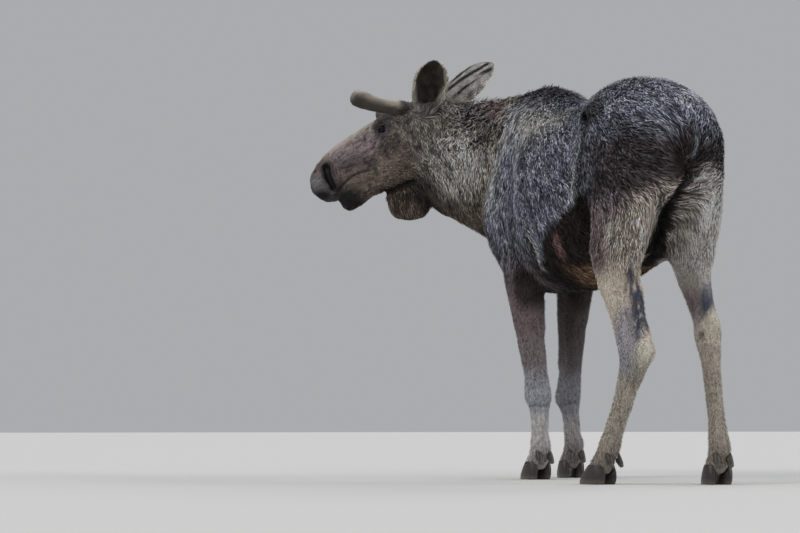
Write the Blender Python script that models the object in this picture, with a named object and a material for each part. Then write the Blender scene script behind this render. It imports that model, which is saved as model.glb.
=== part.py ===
"""A life-size bull moose in early summer, standing with its head turned to its left.

The flesh is a set of tapered masses (trunk, neck, head, limb segments, muscles) swept along
named stations, fused by a voxel remesh, smoothed, thinned to a light triangle mesh, and then
parted into head, neck, trunk, bell and legs by thin cuts. Ears, antler buds, eyes, tail,
hooves and dewclaws are modelled on their own and trimmed where they meet the flesh.

Axes: the animal faces -Y, its left is +X, Z is up, and the floor is Z = 0. Metres.
"""

import math

import bmesh
import bpy
import numpy as np
from mathutils import Matrix, Vector

# ---------------------------------------------------------------- driving dimensions

WITHERS_HEIGHT = 1.855  # top of the shoulder hump, coat included
CROUP_HEIGHT = 1.76  # top of the rump
BRISKET_HEIGHT = 0.85  # underside of the chest

HEAD_TURN = math.radians(50)  # to the animal's left, from straight ahead
HEAD_DROP = math.radians(30)  # nose below the poll
POLL = Vector((0.331, -1.156, 1.842))  # top of the head between the ears

EYE_RADIUS = 0.0215

VOXEL = 0.010
GAP = 0.0005  # between two solids that meet
FLESH_TRIANGLES = 3100
RING_POINTS = 24


# ---------------------------------------------------------------- materials


def material(name, colour, roughness):
    made = bpy.data.materials.new(name)
    made.use_nodes = True
    shader = made.node_tree.nodes["Principled BSDF"]
    shader.inputs["Base Color"].default_value = (*colour, 1.0)
    shader.inputs["Roughness"].default_value = roughness
    shader.inputs["Metallic"].default_value = 0.0
    return made


# ---------------------------------------------------------------- swept masses


def between(rows, steps):
    """Rows of numbers with smooth rows put in between them, as a Catmull-Rom spline does."""
    rows = np.array(rows, float)
    ends = np.vstack([2 * rows[0] - rows[1], rows, 2 * rows[-1] - rows[-2]])
    made = []
    for i in range(1, len(ends) - 2):
        before, here, there, after = ends[i - 1 : i + 3]
        for k in range(steps):
            t = k / steps
            made.append(
                here
                + 0.5 * t * (there - before)
                + t * t * (before - 2.5 * here + 2 * there - 0.5 * after)
                + t**3 * (1.5 * (here - there) + 0.5 * (after - before))
            )
    made.append(rows[-1])
    return np.array(made)


def superellipse(power, points):
    """Unit cross-section points: 2 gives an ellipse, more is boxier, less is more pointed."""
    turns = [2 * math.pi * k / points for k in range(points)]
    return [
        (
            math.copysign(abs(math.cos(a)) ** (2 / power), math.cos(a)),
            math.copysign(abs(math.sin(a)) ** (2 / power), math.sin(a)),
        )
        for a in turns
    ]


def sweep(name, stations, facing, steps=4, power=2.0, rounding=0.6, points=RING_POINTS, dome=(30, 55, 75)):
    """A closed mass along stations of (x, y, z, front, back, side).

    front and back are its reach towards facing and away from it, side its half width. Each end
    closes in a dome whose height is rounding times the end's own reach.
    """
    rows = between(stations, steps)
    tangents = np.gradient(rows[:, :3], axis=0)
    outline = superellipse(power, points)
    mesh = bmesh.new()
    rings = []

    def add_ring(centre, tangent, front, back, side):
        along = Vector(tangent).normalized()
        ahead = Vector(facing) - along * along.dot(Vector(facing))
        ahead.normalize()
        across = along.cross(ahead)
        ring = []
        for u, v in outline:
            reach = front if v > 0 else back
            ring.append(mesh.verts.new(Vector(centre) + across * side * u + ahead * reach * v))
        rings.append(ring)

    def add_dome(row, tangent, away, order):
        height = rounding * (row[3] + row[4]) / 2
        for angle in order:
            shrink, lift = math.cos(angle), math.sin(angle)
            centre = row[:3] + away * lift * height * tangent / np.linalg.norm(tangent)
            add_ring(centre, tangent, *(row[3:6] * shrink))

    dome = [math.radians(d) for d in dome]
    add_dome(rows[0], tangents[0], -1, dome[::-1])
    for row, tangent in zip(rows, tangents):
        add_ring(row[:3], tangent, *row[3:6])
    add_dome(rows[-1], tangents[-1], 1, dome)
    for first, second in zip(rings, rings[1:]):
        for k in range(points):
            m = (k + 1) % points
            mesh.faces.new((first[k], first[m], second[m], second[k]))
    mesh.faces.new(rings[0][::-1])
    mesh.faces.new(rings[-1])
    bmesh.ops.recalc_face_normals(mesh, faces=mesh.faces)
    return finished(name, mesh)


def ellipsoid(name, centre, radii, turn=None):
    """A mass with three half-axes, turned by a matrix about its centre."""
    mesh = bmesh.new()
    place = Matrix.Translation(Vector(centre)) @ (turn or Matrix()) @ Matrix.Diagonal((*radii, 1))
    bmesh.ops.create_icosphere(mesh, subdivisions=3, radius=1.0, matrix=place)
    return finished(name, mesh)


def eyeball(name, centre):
    mesh = bmesh.new()
    place = Matrix.Translation(centre)
    bmesh.ops.create_uvsphere(mesh, u_segments=14, v_segments=8, radius=EYE_RADIUS, matrix=place)
    return finished(name, mesh)


def finished(name, mesh):
    data = bpy.data.meshes.new(name)
    mesh.to_mesh(data)
    mesh.free()
    made = bpy.data.objects.new(name, data)
    bpy.context.scene.collection.objects.link(made)
    return made


# ---------------------------------------------------------------- trunk and neck


def trunk_masses():
    """The barrel from buttocks to breast; each row is y, top, underside, half width, widest z."""
    profile = [
        (0.785, 1.53, 1.34, 0.120, 1.44),
        (0.74, 1.595, 1.25, 0.180, 1.44),
        (0.65, 1.665, 1.16, 0.225, 1.44),
        (0.53, 1.725, 1.06, 0.252, 1.44),
        (0.38, CROUP_HEIGHT, 0.955, 0.260, 1.42),
        (0.22, 1.745, 0.885, 0.240, 1.36),
        (0.05, 1.715, 0.855, 0.272, 1.28),
        (-0.12, 1.695, 0.848, 0.292, 1.24),
        (-0.28, 1.735, BRISKET_HEIGHT, 0.290, 1.23),
        (-0.42, 1.800, 0.852, 0.270, 1.24),
        (-0.56, 1.845, 0.870, 0.245, 1.25),
        (-0.68, WITHERS_HEIGHT, 0.91, 0.222, 1.27),
        (-0.78, 1.81, 0.98, 0.190, 1.30),
        (-0.85, 1.71, 1.08, 0.140, 1.32),
    ]
    stations = [
        (0, y, widest, top - widest, widest - under, side) for y, top, under, side, widest in profile
    ]
    return [sweep("barrel", stations, (0, 0, 1), power=2.2, rounding=0.12)]


def neck_masses():
    """The deep neck, bending from the shoulders to the left and up to the back of the head."""
    stations = [
        (0.00, -0.50, 1.40, 0.42, 0.42, 0.200),
        (0.01, -0.68, 1.43, 0.42, 0.40, 0.192),
        (0.05, -0.83, 1.47, 0.380, 0.375, 0.182),
        (0.115, -0.955, 1.51, 0.335, 0.345, 0.168),
        (0.20, -1.055, 1.54, 0.305, 0.308, 0.154),
        (0.29, -1.130, 1.56, 0.275, 0.278, 0.140),
        (0.365, -1.180, 1.570, 0.225, 0.200, 0.112),
        (0.435, -1.238, 1.590, 0.160, 0.130, 0.080),
    ]
    return [sweep("neck_mass", stations, (0, 0, 1), power=2.1, rounding=0.2)]


# ---------------------------------------------------------------- head


def head_axes():
    """Unit vectors of the turned head: towards the nose, upwards and to its left."""
    level = Vector((math.sin(HEAD_TURN), -math.cos(HEAD_TURN), 0))
    nose = level * math.cos(HEAD_DROP) - Vector((0, 0, 1)) * math.sin(HEAD_DROP)
    up = level * math.sin(HEAD_DROP) + Vector((0, 0, 1)) * math.cos(HEAD_DROP)
    return nose, up, up.cross(nose)


def in_head(along, up, left=0.0):
    """A point given as distances from the poll: towards the nose, upwards and to the left."""
    n, u, s = head_axes()
    return POLL + n * along + u * up + s * left


def head_stations(profile):
    """Rows of along, top, underside and half width, as stations of the turned head."""
    rows = []
    for along, top, under, side in profile:
        middle = (top + under) / 2
        rows.append((*in_head(along, middle), top - middle, middle - under, side))
    return rows


def head_masses():
    _, up, _ = head_axes()
    upper = [
        (-0.04, 0.005, -0.22, 0.092),
        (0.05, 0.040, -0.23, 0.112),
        (0.15, 0.057, -0.22, 0.118),
        (0.24, 0.067, -0.21, 0.114),
        (0.33, 0.076, -0.19, 0.098),
        (0.42, 0.080, -0.170, 0.083),
        (0.50, 0.080, -0.155, 0.076),
        (0.57, 0.076, -0.152, 0.077),
        (0.63, 0.062, -0.156, 0.083),
        (0.68, 0.038, -0.164, 0.086),
        (0.720, 0.006, -0.164, 0.080),
        (0.748, -0.030, -0.150, 0.064),
    ]
    lower = [
        (0.10, -0.10, -0.280, 0.090),
        (0.20, -0.11, -0.290, 0.086),
        (0.29, -0.12, -0.292, 0.078),
        (0.37, -0.125, -0.282, 0.070),
        (0.44, -0.13, -0.258, 0.065),
        (0.52, -0.13, -0.240, 0.060),
        (0.60, -0.135, -0.246, 0.060),
        (0.655, -0.140, -0.240, 0.052),
    ]
    lips = [
        (0.10, -0.02, -0.25, 0.108),
        (0.24, -0.03, -0.25, 0.104),
        (0.36, -0.05, -0.24, 0.088),
        (0.45, -0.07, -0.21, 0.074),
        (0.52, -0.09, -0.19, 0.066),
        (0.60, -0.09, -0.19, 0.066),
        (0.655, -0.10, -0.18, 0.060),
    ]
    masses = [
        sweep("upper_head", head_stations(upper), up, power=2.35, rounding=0.25),
        sweep("lower_jaw", head_stations(lower), up, power=2.2, rounding=0.4),
        sweep("lips", head_stations(lips), up, power=2.2, rounding=0.4),
    ]
    turn = Matrix([*[(*v, 0) for v in zip(*head_axes())], (0, 0, 0, 1)])
    for side in (-1, 1):
        masses += [
            ellipsoid("cheek", in_head(0.21, -0.150, 0.052 * side), (0.140, 0.115, 0.058), turn),
            ellipsoid("brow", in_head(0.272, 0.012, 0.076 * side), (0.080, 0.048, 0.040), turn),
            ellipsoid("nostril_roll", in_head(0.655, -0.035, 0.052 * side), (0.055, 0.060, 0.040), turn),
            ellipsoid("pedicle", in_head(0.160, 0.035, 0.070 * side), (0.042, 0.036, 0.042), turn),
        ]
    throat = in_head(0.363, -0.350)
    bell = [
        (*(throat + Vector((0, 0, 0.10))), 0.110, 0.120, 0.060),
        (*throat, 0.120, 0.125, 0.050),
        (*(throat - Vector((0, 0, 0.075))), 0.095, 0.105, 0.036),
    ]
    level = Vector((math.sin(HEAD_TURN), -math.cos(HEAD_TURN), 0))
    masses.append(sweep("bell_mass", bell, level, rounding=0.35))
    return masses


# ---------------------------------------------------------------- legs

# Joint positions: hip or shoulder, stifle or elbow, hock or knee, fetlock, and the coronet's middle.
LEG_JOINTS = {
    "foreleg_left": [
        (0.180, -0.745, 1.24),
        (0.175, -0.470, 0.985),
        (0.150, -0.366, 0.368),
        (0.144, -0.362, 0.150),
        (0.144, -0.398, 0.070),
    ],
    "foreleg_right": [
        (-0.175, -0.80, 1.24),
        (-0.170, -0.62, 0.985),
        (-0.147, -0.668, 0.368),
        (-0.142, -0.600, 0.150),
        (-0.142, -0.635, 0.070),
    ],
    "hindleg_left": [
        (0.165, 0.55, 1.38),
        (0.200, 0.45, 0.96),
        (0.186, 0.660, 0.525),
        (0.238, 0.500, 0.150),
        (0.250, 0.460, 0.070),
    ],
    "hindleg_right": [
        (-0.165, 0.55, 1.38),
        (-0.200, 0.405, 0.98),
        (-0.182, 0.605, 0.640),
        (-0.186, 0.688, 0.150),
        (-0.188, 0.662, 0.070),
    ],
}
TOES_POINT = {
    "foreleg_left": (0.12, -1, 0),
    "foreleg_right": (-0.12, -1, 0),
    "hindleg_left": (0.42, -1, 0),
    "hindleg_right": (-0.14, -1, 0),
}

# Along one bone: fraction, then reach to the front, to the back, and half width.
FORELEG = {
    "arm": [(0.0, 0.10, 0.11, 0.090), (0.5, 0.12, 0.15, 0.090), (1.0, 0.110, 0.105, 0.084)],
    "forearm": [
        (-0.12, 0.114, 0.106, 0.088),
        (0.10, 0.116, 0.098, 0.086),
        (0.33, 0.098, 0.081, 0.074),
        (0.58, 0.076, 0.064, 0.062),
        (0.80, 0.064, 0.059, 0.055),
        (0.92, 0.070, 0.062, 0.060),
        (1.01, 0.070, 0.064, 0.061),
    ],
    "cannon": [
        (0.02, 0.066, 0.061, 0.060),
        (0.16, 0.053, 0.056, 0.052),
        (0.34, 0.042, 0.052, 0.044),
        (0.74, 0.040, 0.050, 0.042),
        (0.92, 0.045, 0.057, 0.050),
        (1.03, 0.045, 0.058, 0.051),
    ],
    "pastern": [(0.0, 0.044, 0.054, 0.051), (0.55, 0.042, 0.049, 0.052), (1.0, 0.054, 0.050, 0.060)],
}
HINDLEG = {
    "thigh": [(0.0, 0.15, 0.15, 0.085), (0.5, 0.14, 0.17, 0.080), (1.0, 0.085, 0.16, 0.072)],
    "gaskin": [
        (-0.08, 0.084, 0.171, 0.080),
        (0.12, 0.086, 0.151, 0.076),
        (0.35, 0.080, 0.111, 0.066),
        (0.60, 0.068, 0.080, 0.056),
        (0.82, 0.068, 0.064, 0.052),
        (0.96, 0.078, 0.066, 0.057),
        (1.04, 0.078, 0.068, 0.058),
    ],
    "cannon": [
        (-0.06, 0.078, 0.066, 0.057),
        (0.08, 0.070, 0.066, 0.055),
        (0.22, 0.056, 0.058, 0.046),
        (0.40, 0.046, 0.051, 0.040),
        (0.78, 0.042, 0.050, 0.039),
        (0.93, 0.045, 0.056, 0.047),
        (1.03, 0.045, 0.057, 0.049),
    ],
    "pastern": [(0.0, 0.044, 0.054, 0.049), (0.55, 0.042, 0.049, 0.050), (1.0, 0.054, 0.050, 0.059)],
}


def limb_masses(leg):
    """One swept mass for each bone of a leg, from its joints and its table of reaches."""
    joints = [Vector(p) for p in LEG_JOINTS[leg]]
    facing = Vector(TOES_POINT[leg]).normalized()
    table = FORELEG if leg.startswith("fore") else HINDLEG
    masses = []
    for (part, rows), start, end in zip(table.items(), joints, joints[1:]):
        stations = [(*start.lerp(end, f), front, back, side) for f, front, back, side in rows]
        masses.append(sweep(f"{leg}_{part}", stations, facing, steps=4))
    return masses


def shoulder_masses(side):
    """Shoulder blade and triceps, lying against the ribs."""
    joints = LEG_JOINTS["foreleg_left" if side > 0 else "foreleg_right"]
    point, elbow = Vector(joints[0]), Vector(joints[1])
    top = Vector((0.100 * side, -0.52, 1.66))
    blade = [
        (*top, 0.13, 0.14, 0.070),
        (*top.lerp(point, 0.35), 0.15, 0.16, 0.080),
        (*top.lerp(point, 0.75), 0.13, 0.15, 0.085),
        (*point, 0.09, 0.10, 0.080),
    ]
    triceps = [
        (*(top.lerp(point, 0.35) + Vector((0.02 * side, 0.08, 0))), 0.14, 0.15, 0.080),
        (*(point.lerp(elbow, 0.45) + Vector((0.015 * side, 0.05, 0.12))), 0.14, 0.16, 0.090),
        (*(elbow + Vector((0, 0.02, 0.04))), 0.10, 0.10, 0.080),
    ]
    return [
        sweep("blade", blade, (0, -1, 0)),
        sweep("triceps", triceps, (0, -1, 0)),
    ]


def haunch_masses(side):
    """The big muscles of the hip and thigh on one side, and the tendon down to the hock."""
    leg = "hindleg_left" if side > 0 else "hindleg_right"
    joints = [Vector(p) for p in LEG_JOINTS[leg]]
    stifle, hock = joints[1:3]
    rear = -Vector(TOES_POINT[leg]).normalized()
    heel = hock + rear * 0.072 + Vector((0, 0, 0.034))  # point of the hock
    calf = stifle.lerp(hock, 0.30)
    haunch = [
        (0.120 * side, 0.42, 1.58, 0.140, 0.160, 0.080),
        (0.142 * side, 0.48, 1.46, 0.195, 0.240, 0.104),
        (0.150 * side, 0.50, 1.30, 0.220, 0.255, 0.104),
        (0.156 * side, 0.50, 1.15, 0.195, 0.215, 0.098),
        (*(stifle + Vector((-0.025 * side, 0.060, 0.06))), 0.145, 0.180, 0.088),
        (*(stifle + Vector((-0.010 * side, 0.070, -0.04))), 0.120, 0.140, 0.076),
        (*(calf + Vector((0, 0.030, 0))), 0.075, 0.085, 0.056),
    ]
    tendon = [
        (*(stifle.lerp(heel, 0.35) + rear * 0.055), 0.060, 0.040, 0.042),
        (*(stifle.lerp(heel, 0.65) + rear * 0.022), 0.042, 0.030, 0.028),
        (*stifle.lerp(heel, 0.90), 0.034, 0.028, 0.026),
        (*heel, 0.032, 0.026, 0.030),
        (*(heel - rear * 0.02 - Vector((0, 0, 0.05))), 0.040, 0.028, 0.034),
    ]
    masses = [
        sweep("haunch", haunch, (0, -1, 0), power=2.2),
        sweep("tendon", tendon, (0, -1, 0)),
        ellipsoid("point_of_hip", (0.190 * side, 0.32, 1.56), (0.060, 0.110, 0.090)),
        ellipsoid("buttock", (0.108 * side, 0.70, 1.40), (0.095, 0.105, 0.150)),
    ]
    return masses


# ---------------------------------------------------------------- fusing the flesh


def apply_modifiers(thing):
    """Bakes an object's modifiers into its mesh."""
    graph = bpy.context.evaluated_depsgraph_get()
    data = bpy.data.meshes.new_from_object(thing.evaluated_get(graph))
    thing.modifiers.clear()
    thing.data = data


def remove(*things):
    for thing in things:
        bpy.data.objects.remove(thing)


def fuse(masses):
    """One closed skin round all the masses, blended most over the trunk and least on the head."""
    mesh = bmesh.new()
    for mass in masses:
        mesh.from_mesh(mass.data)
    remove(*masses)
    body = finished("flesh", mesh)
    remesh = body.modifiers.new("Remesh", "REMESH")
    remesh.mode = "VOXEL"
    remesh.voxel_size = VOXEL
    remesh.adaptivity = 0
    apply_modifiers(body)
    nose = in_head(0.75, 0)
    broad = body.vertex_groups.new(name="broad")
    for vertex in body.data.vertices:
        high = (vertex.co.z - 0.80) / 0.35
        behind_head = ((vertex.co - nose).length - 0.62) / 0.25
        broad.add([vertex.index], min(1, max(0, min(high, behind_head))), "REPLACE")
    for iterations, group in ((12, ""), (60, "broad")):
        smooth = body.modifiers.new("Smooth", "SMOOTH")
        smooth.factor = 0.5
        smooth.iterations = iterations
        smooth.vertex_group = group
    apply_modifiers(body)
    return body


def boolean(thing, other, operation):
    cut = thing.modifiers.new("Cut", "BOOLEAN")
    cut.solver = "EXACT"
    cut.operation = operation
    cut.object = other
    apply_modifiers(thing)


def grown(thing, distance):
    """A copy with every point moved out along its normal."""
    mesh = bmesh.new()
    mesh.from_mesh(thing.data)
    mesh.normal_update()
    for vertex in mesh.verts:
        vertex.co += vertex.normal * distance
    return finished(thing.name + "_grown", mesh)


def slab(centre, along, across, size_along, size_across):
    """A thin plate, GAP thick, holding two directions."""
    along = Vector(along).normalized()
    across = (Vector(across) - along * along.dot(Vector(across))).normalized()
    normal = along.cross(across)
    turn = Matrix([*[(*v, 0) for v in zip(along, across, normal)], (0, 0, 0, 1)])
    mesh = bmesh.new()
    place = Matrix.Translation(Vector(centre)) @ turn @ Matrix.Diagonal((size_along, size_across, GAP, 1))
    bmesh.ops.create_cube(mesh, size=1.0, matrix=place)
    return finished("slab", mesh)


def leg_volume(leg):
    """A rounded volume that holds one leg up to the elbow or the stifle."""
    upper, middle, lower, foot = (Vector(p) for p in LEG_JOINTS[leg][1:])
    side = 1 if leg.endswith("left") else -1
    under = foot - Vector((0, 0, 0.12))
    if leg.startswith("fore"):
        stations = [
            (0.185 * side, upper.y + 0.01, 0.94, 0.19, 0.17, 0.138),
            (*upper.lerp(middle, 0.5), 0.14, 0.13, 0.105),
            (*middle, 0.12, 0.12, 0.100),
            (*lower, 0.13, 0.13, 0.105),
            (*under, 0.16, 0.16, 0.110),
        ]
    else:
        stations = [
            (0.168 * side, upper.y + 0.09, 1.03, 0.23, 0.26, 0.142),
            (*(upper.lerp(middle, 0.5) + Vector((0, 0.03, 0))), 0.19, 0.17, 0.120),
            (*middle, 0.16, 0.17, 0.110),
            (*lower, 0.14, 0.14, 0.105),
            (*under, 0.16, 0.17, 0.115),
        ]
    return sweep("leg_volume", stations, (0, -1, 0), steps=3, rounding=0.75, points=20)


def bell_volume():
    """A block whose top runs along the underside of the jaw and whose back crosses the throat."""
    corner = in_head(0.497, -0.2625)
    rearward = (in_head(0.178, -0.318) - corner).normalized()
    left = Vector((math.cos(HEAD_TURN), math.sin(HEAD_TURN), 0))
    downward = rearward.cross(left)
    if downward.z > 0:
        downward.negate()
    turn = Matrix([*[(*v, 0) for v in zip(rearward, downward, left)], (0, 0, 0, 1)])
    place = Matrix.Translation(corner + rearward * 0.125 + downward * 0.15) @ turn
    mesh = bmesh.new()
    bmesh.ops.create_cube(mesh, size=1.0, matrix=place @ Matrix.Diagonal((0.35, 0.30, 0.30, 1)))
    bmesh.ops.recalc_face_normals(mesh, faces=mesh.faces)
    return finished("bell_volume", mesh)


def part_flesh(body):
    """Cuts the flesh into pieces: the legs and the bell by volumes, the rest by plates."""
    pieces = []
    for volume in [leg_volume(leg) for leg in LEG_JOINTS] + [bell_volume()]:
        piece = finished("piece", copied(body))
        boolean(piece, volume, "INTERSECT")
        pieces.append(piece)
        cutter = grown(volume, GAP)
        boolean(body, cutter, "DIFFERENCE")
        remove(volume, cutter)
    level = Vector((math.sin(HEAD_TURN), -math.cos(HEAD_TURN), 0))
    left = Vector((math.cos(HEAD_TURN), math.sin(HEAD_TURN), 0))
    plates = [
        # behind the ears and the angle of the jaw
        slab(in_head(0.08, -0.30), Vector((0, 0, 1)) - 0.10 * level, left, 0.90, 0.6),
        # along the front of the shoulder
        slab((0.03, -0.80, 1.42), (0, -0.12, 1), (1, 0.18, 0), 1.30, 0.9),
    ]
    for plate in plates:
        boolean(body, plate, "DIFFERENCE")
        remove(plate)
    pieces += loose_parts(body)
    remove(body)
    return pieces


def loose_parts(body):
    """One object for each connected piece of a mesh, largest first."""
    mesh = bmesh.new()
    mesh.from_mesh(body.data)
    seen, groups = set(), []
    for start in mesh.verts:
        if start in seen:
            continue
        group, todo = set(), [start]
        while todo:
            vertex = todo.pop()
            if vertex in group:
                continue
            group.add(vertex)
            todo += [edge.other_vert(vertex) for edge in vertex.link_edges]
        seen |= group
        groups.append(group)
    pieces = []
    for group in sorted(groups, key=len, reverse=True):
        piece = bmesh.new()
        copies = {vertex: piece.verts.new(vertex.co) for vertex in group}
        for face in {face for vertex in group for face in vertex.link_faces}:
            piece.faces.new([copies[vertex] for vertex in face.verts])
        pieces.append(finished("piece", piece))
    mesh.free()
    return pieces


def ear(name, base, tip, opening):
    """A leaf-shaped cup: a tube at its root, opening out and closing to a rounded point.

    Each row is the fraction of the length, the radius of the cup, half its arc in degrees and
    its wall.
    """
    rows = [
        (0.00, 0.034, 150, 0.010),
        (0.12, 0.042, 140, 0.010),
        (0.25, 0.056, 112, 0.009),
        (0.40, 0.074, 82, 0.008),
        (0.55, 0.088, 62, 0.008),
        (0.70, 0.092, 50, 0.008),
        (0.83, 0.086, 40, 0.008),
        (0.93, 0.072, 30, 0.007),
        (1.00, 0.045, 14, 0.006),
    ]
    base, tip, opening = Vector(base), Vector(tip), Vector(opening)
    axis = (tip - base).normalized()
    ahead = (opening - axis * axis.dot(opening)).normalized()
    across = axis.cross(ahead)
    length = (tip - base).length
    mesh = bmesh.new()
    outer, inner = [], []
    for fraction, radius, half_arc, wall in rows:
        spine = base + axis * length * fraction - ahead * 0.020 * math.sin(math.pi * fraction)
        outer.append([])
        inner.append([])
        for k in range(7):
            angle = math.radians(half_arc) * (k / 3 - 1)
            inward = ahead * math.cos(angle) - across * math.sin(angle)
            point = spine + ahead * radius - inward * radius
            outer[-1].append(mesh.verts.new(point))
            inner[-1].append(mesh.verts.new(point + inward * wall))
    rims = [(row[0], back[0]) for row, back in zip(outer, inner)]
    far_rims = [(row[-1], back[-1]) for row, back in zip(outer, inner)]
    for near, far in zip(outer, outer[1:]):
        for k in range(6):
            mesh.faces.new((near[k], near[k + 1], far[k + 1], far[k]))
    for near, far in zip(inner, inner[1:]):
        for k in range(6):
            mesh.faces.new((near[k + 1], near[k], far[k], far[k + 1]))
    for edge in (rims, far_rims, list(zip(outer[0], inner[0])), list(zip(outer[-1], inner[-1]))):
        for (a, b), (c, d) in zip(edge, edge[1:]):
            mesh.faces.new((a, b, d, c))
    bmesh.ops.recalc_face_normals(mesh, faces=mesh.faces)
    return finished(name, mesh)


def antler_bud(name, base, tip):
    """A velvet bud: a collar at the head, a waist, and a blunt club."""
    base, tip = Vector(base), Vector(tip)
    radii = [(-0.10, 0.040), (0.06, 0.039), (0.22, 0.034), (0.42, 0.034)]
    radii += [(0.62, 0.038), (0.80, 0.043), (0.90, 0.041)]
    bow = (tip - base).normalized().cross(Vector((0, 0, 1))).cross(tip - base).normalized()
    stations = []
    for fraction, radius in radii:
        centre = base.lerp(tip, fraction) - bow * 0.012 * math.sin(math.pi * max(0, fraction))
        stations.append((*centre, radius, radius, radius))
    return sweep(name, stations, (0, 0, 1), steps=1, rounding=0.62, points=11)


def claw(name, foot, facing, side):
    """One half of a cloven hoof: a long wedge on a flat sole, pointed at the toe."""
    outline = [(-1, 0), (-0.78, 0.66), (-0.28, 1.0), (0.30, 0.92), (0.76, 0.50), (1, 0)]
    outline += [(along, -across) for along, across in outline[-2:0:-1]]
    # height, toe, heel, half width
    levels = [
        (0.000, 0.098, -0.050, 0.0270),
        (0.014, 0.097, -0.056, 0.0290),
        (0.038, 0.082, -0.058, 0.0290),
        (0.062, 0.062, -0.052, 0.0275),
        (0.082, 0.040, -0.042, 0.0240),
    ]
    turned = Matrix.Rotation(-0.07 * side, 3, "Z") @ Vector(facing).normalized()
    out = Vector((-turned.y, turned.x, 0)) * side
    centre = Vector((foot.x, foot.y, 0)) + out * 0.0325
    mesh = bmesh.new()
    rings = []
    for height, toe, heel, width in levels:
        ring = []
        for along, across in outline:
            reach = (toe + heel) / 2 + along * (toe - heel) / 2
            lateral = across * width * (1.0 if across > 0 else 0.80)
            ring.append(mesh.verts.new(centre + turned * reach + out * lateral + Vector((0, 0, height))))
        rings.append(ring)
    for low, high in zip(rings, rings[1:]):
        for k in range(len(outline)):
            m = (k + 1) % len(outline)
            mesh.faces.new((low[k], low[m], high[m], high[k]))
    mesh.faces.new(rings[0][::-1])
    mesh.faces.new(rings[-1])
    bmesh.ops.recalc_face_normals(mesh, faces=mesh.faces)
    return finished(name, mesh)


def dewclaw(name, leg, side):
    """A small claw behind the pastern, pointing down and back."""
    facing = Vector(TOES_POINT[leg]).normalized()
    out = Vector((-facing.y, facing.x, 0)) * side
    root = Vector(LEG_JOINTS[leg][3]).lerp(Vector(LEG_JOINTS[leg][4]), 0.30) - facing * 0.034 + out * 0.026
    point = root - facing * 0.030 - Vector((0, 0, 0.058)) + out * 0.006
    stations = [
        (*root, 0.015, 0.015, 0.016),
        (*root.lerp(point, 0.45), 0.016, 0.015, 0.017),
        (*root.lerp(point, 0.85), 0.010, 0.009, 0.012),
    ]
    return sweep(name, stations, facing, steps=1, rounding=0.6, points=7, dome=(35, 70))


def taken_from(thing, others):
    """Cuts the others, grown by GAP, out of a thing that meets them."""
    for other in others:
        cutter = grown(other, GAP)
        boolean(thing, cutter, "DIFFERENCE")
        remove(cutter)


def thinned(body):
    """Fewer triangles, with more of them kept on the head and the feet than on the trunk."""
    detail = body.vertex_groups.new(name="detail")
    nose = in_head(0.45, -0.08)
    for vertex in body.data.vertices:
        near_head = 1.0 - max(0.0, (vertex.co - nose).length - 0.42) / 0.12
        low = (0.75 - vertex.co.z) / 0.35
        detail.add([vertex.index], min(0.95, max(0, near_head, 0.60 * low)), "REPLACE")
    body.data.calc_loop_triangles()
    decimate = body.modifiers.new("Decimate", "DECIMATE")
    decimate.ratio = FLESH_TRIANGLES / len(body.data.loop_triangles)
    decimate.use_collapse_triangulate = True
    decimate.vertex_group = "detail"
    decimate.vertex_group_factor = 0.06
    decimate.invert_vertex_group = True
    apply_modifiers(body)


def nearest(pieces, point):
    """The piece that has the vertex nearest to a point."""
    return min(pieces, key=lambda piece: min((v.co - Vector(point)).length for v in piece.data.vertices))


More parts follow.
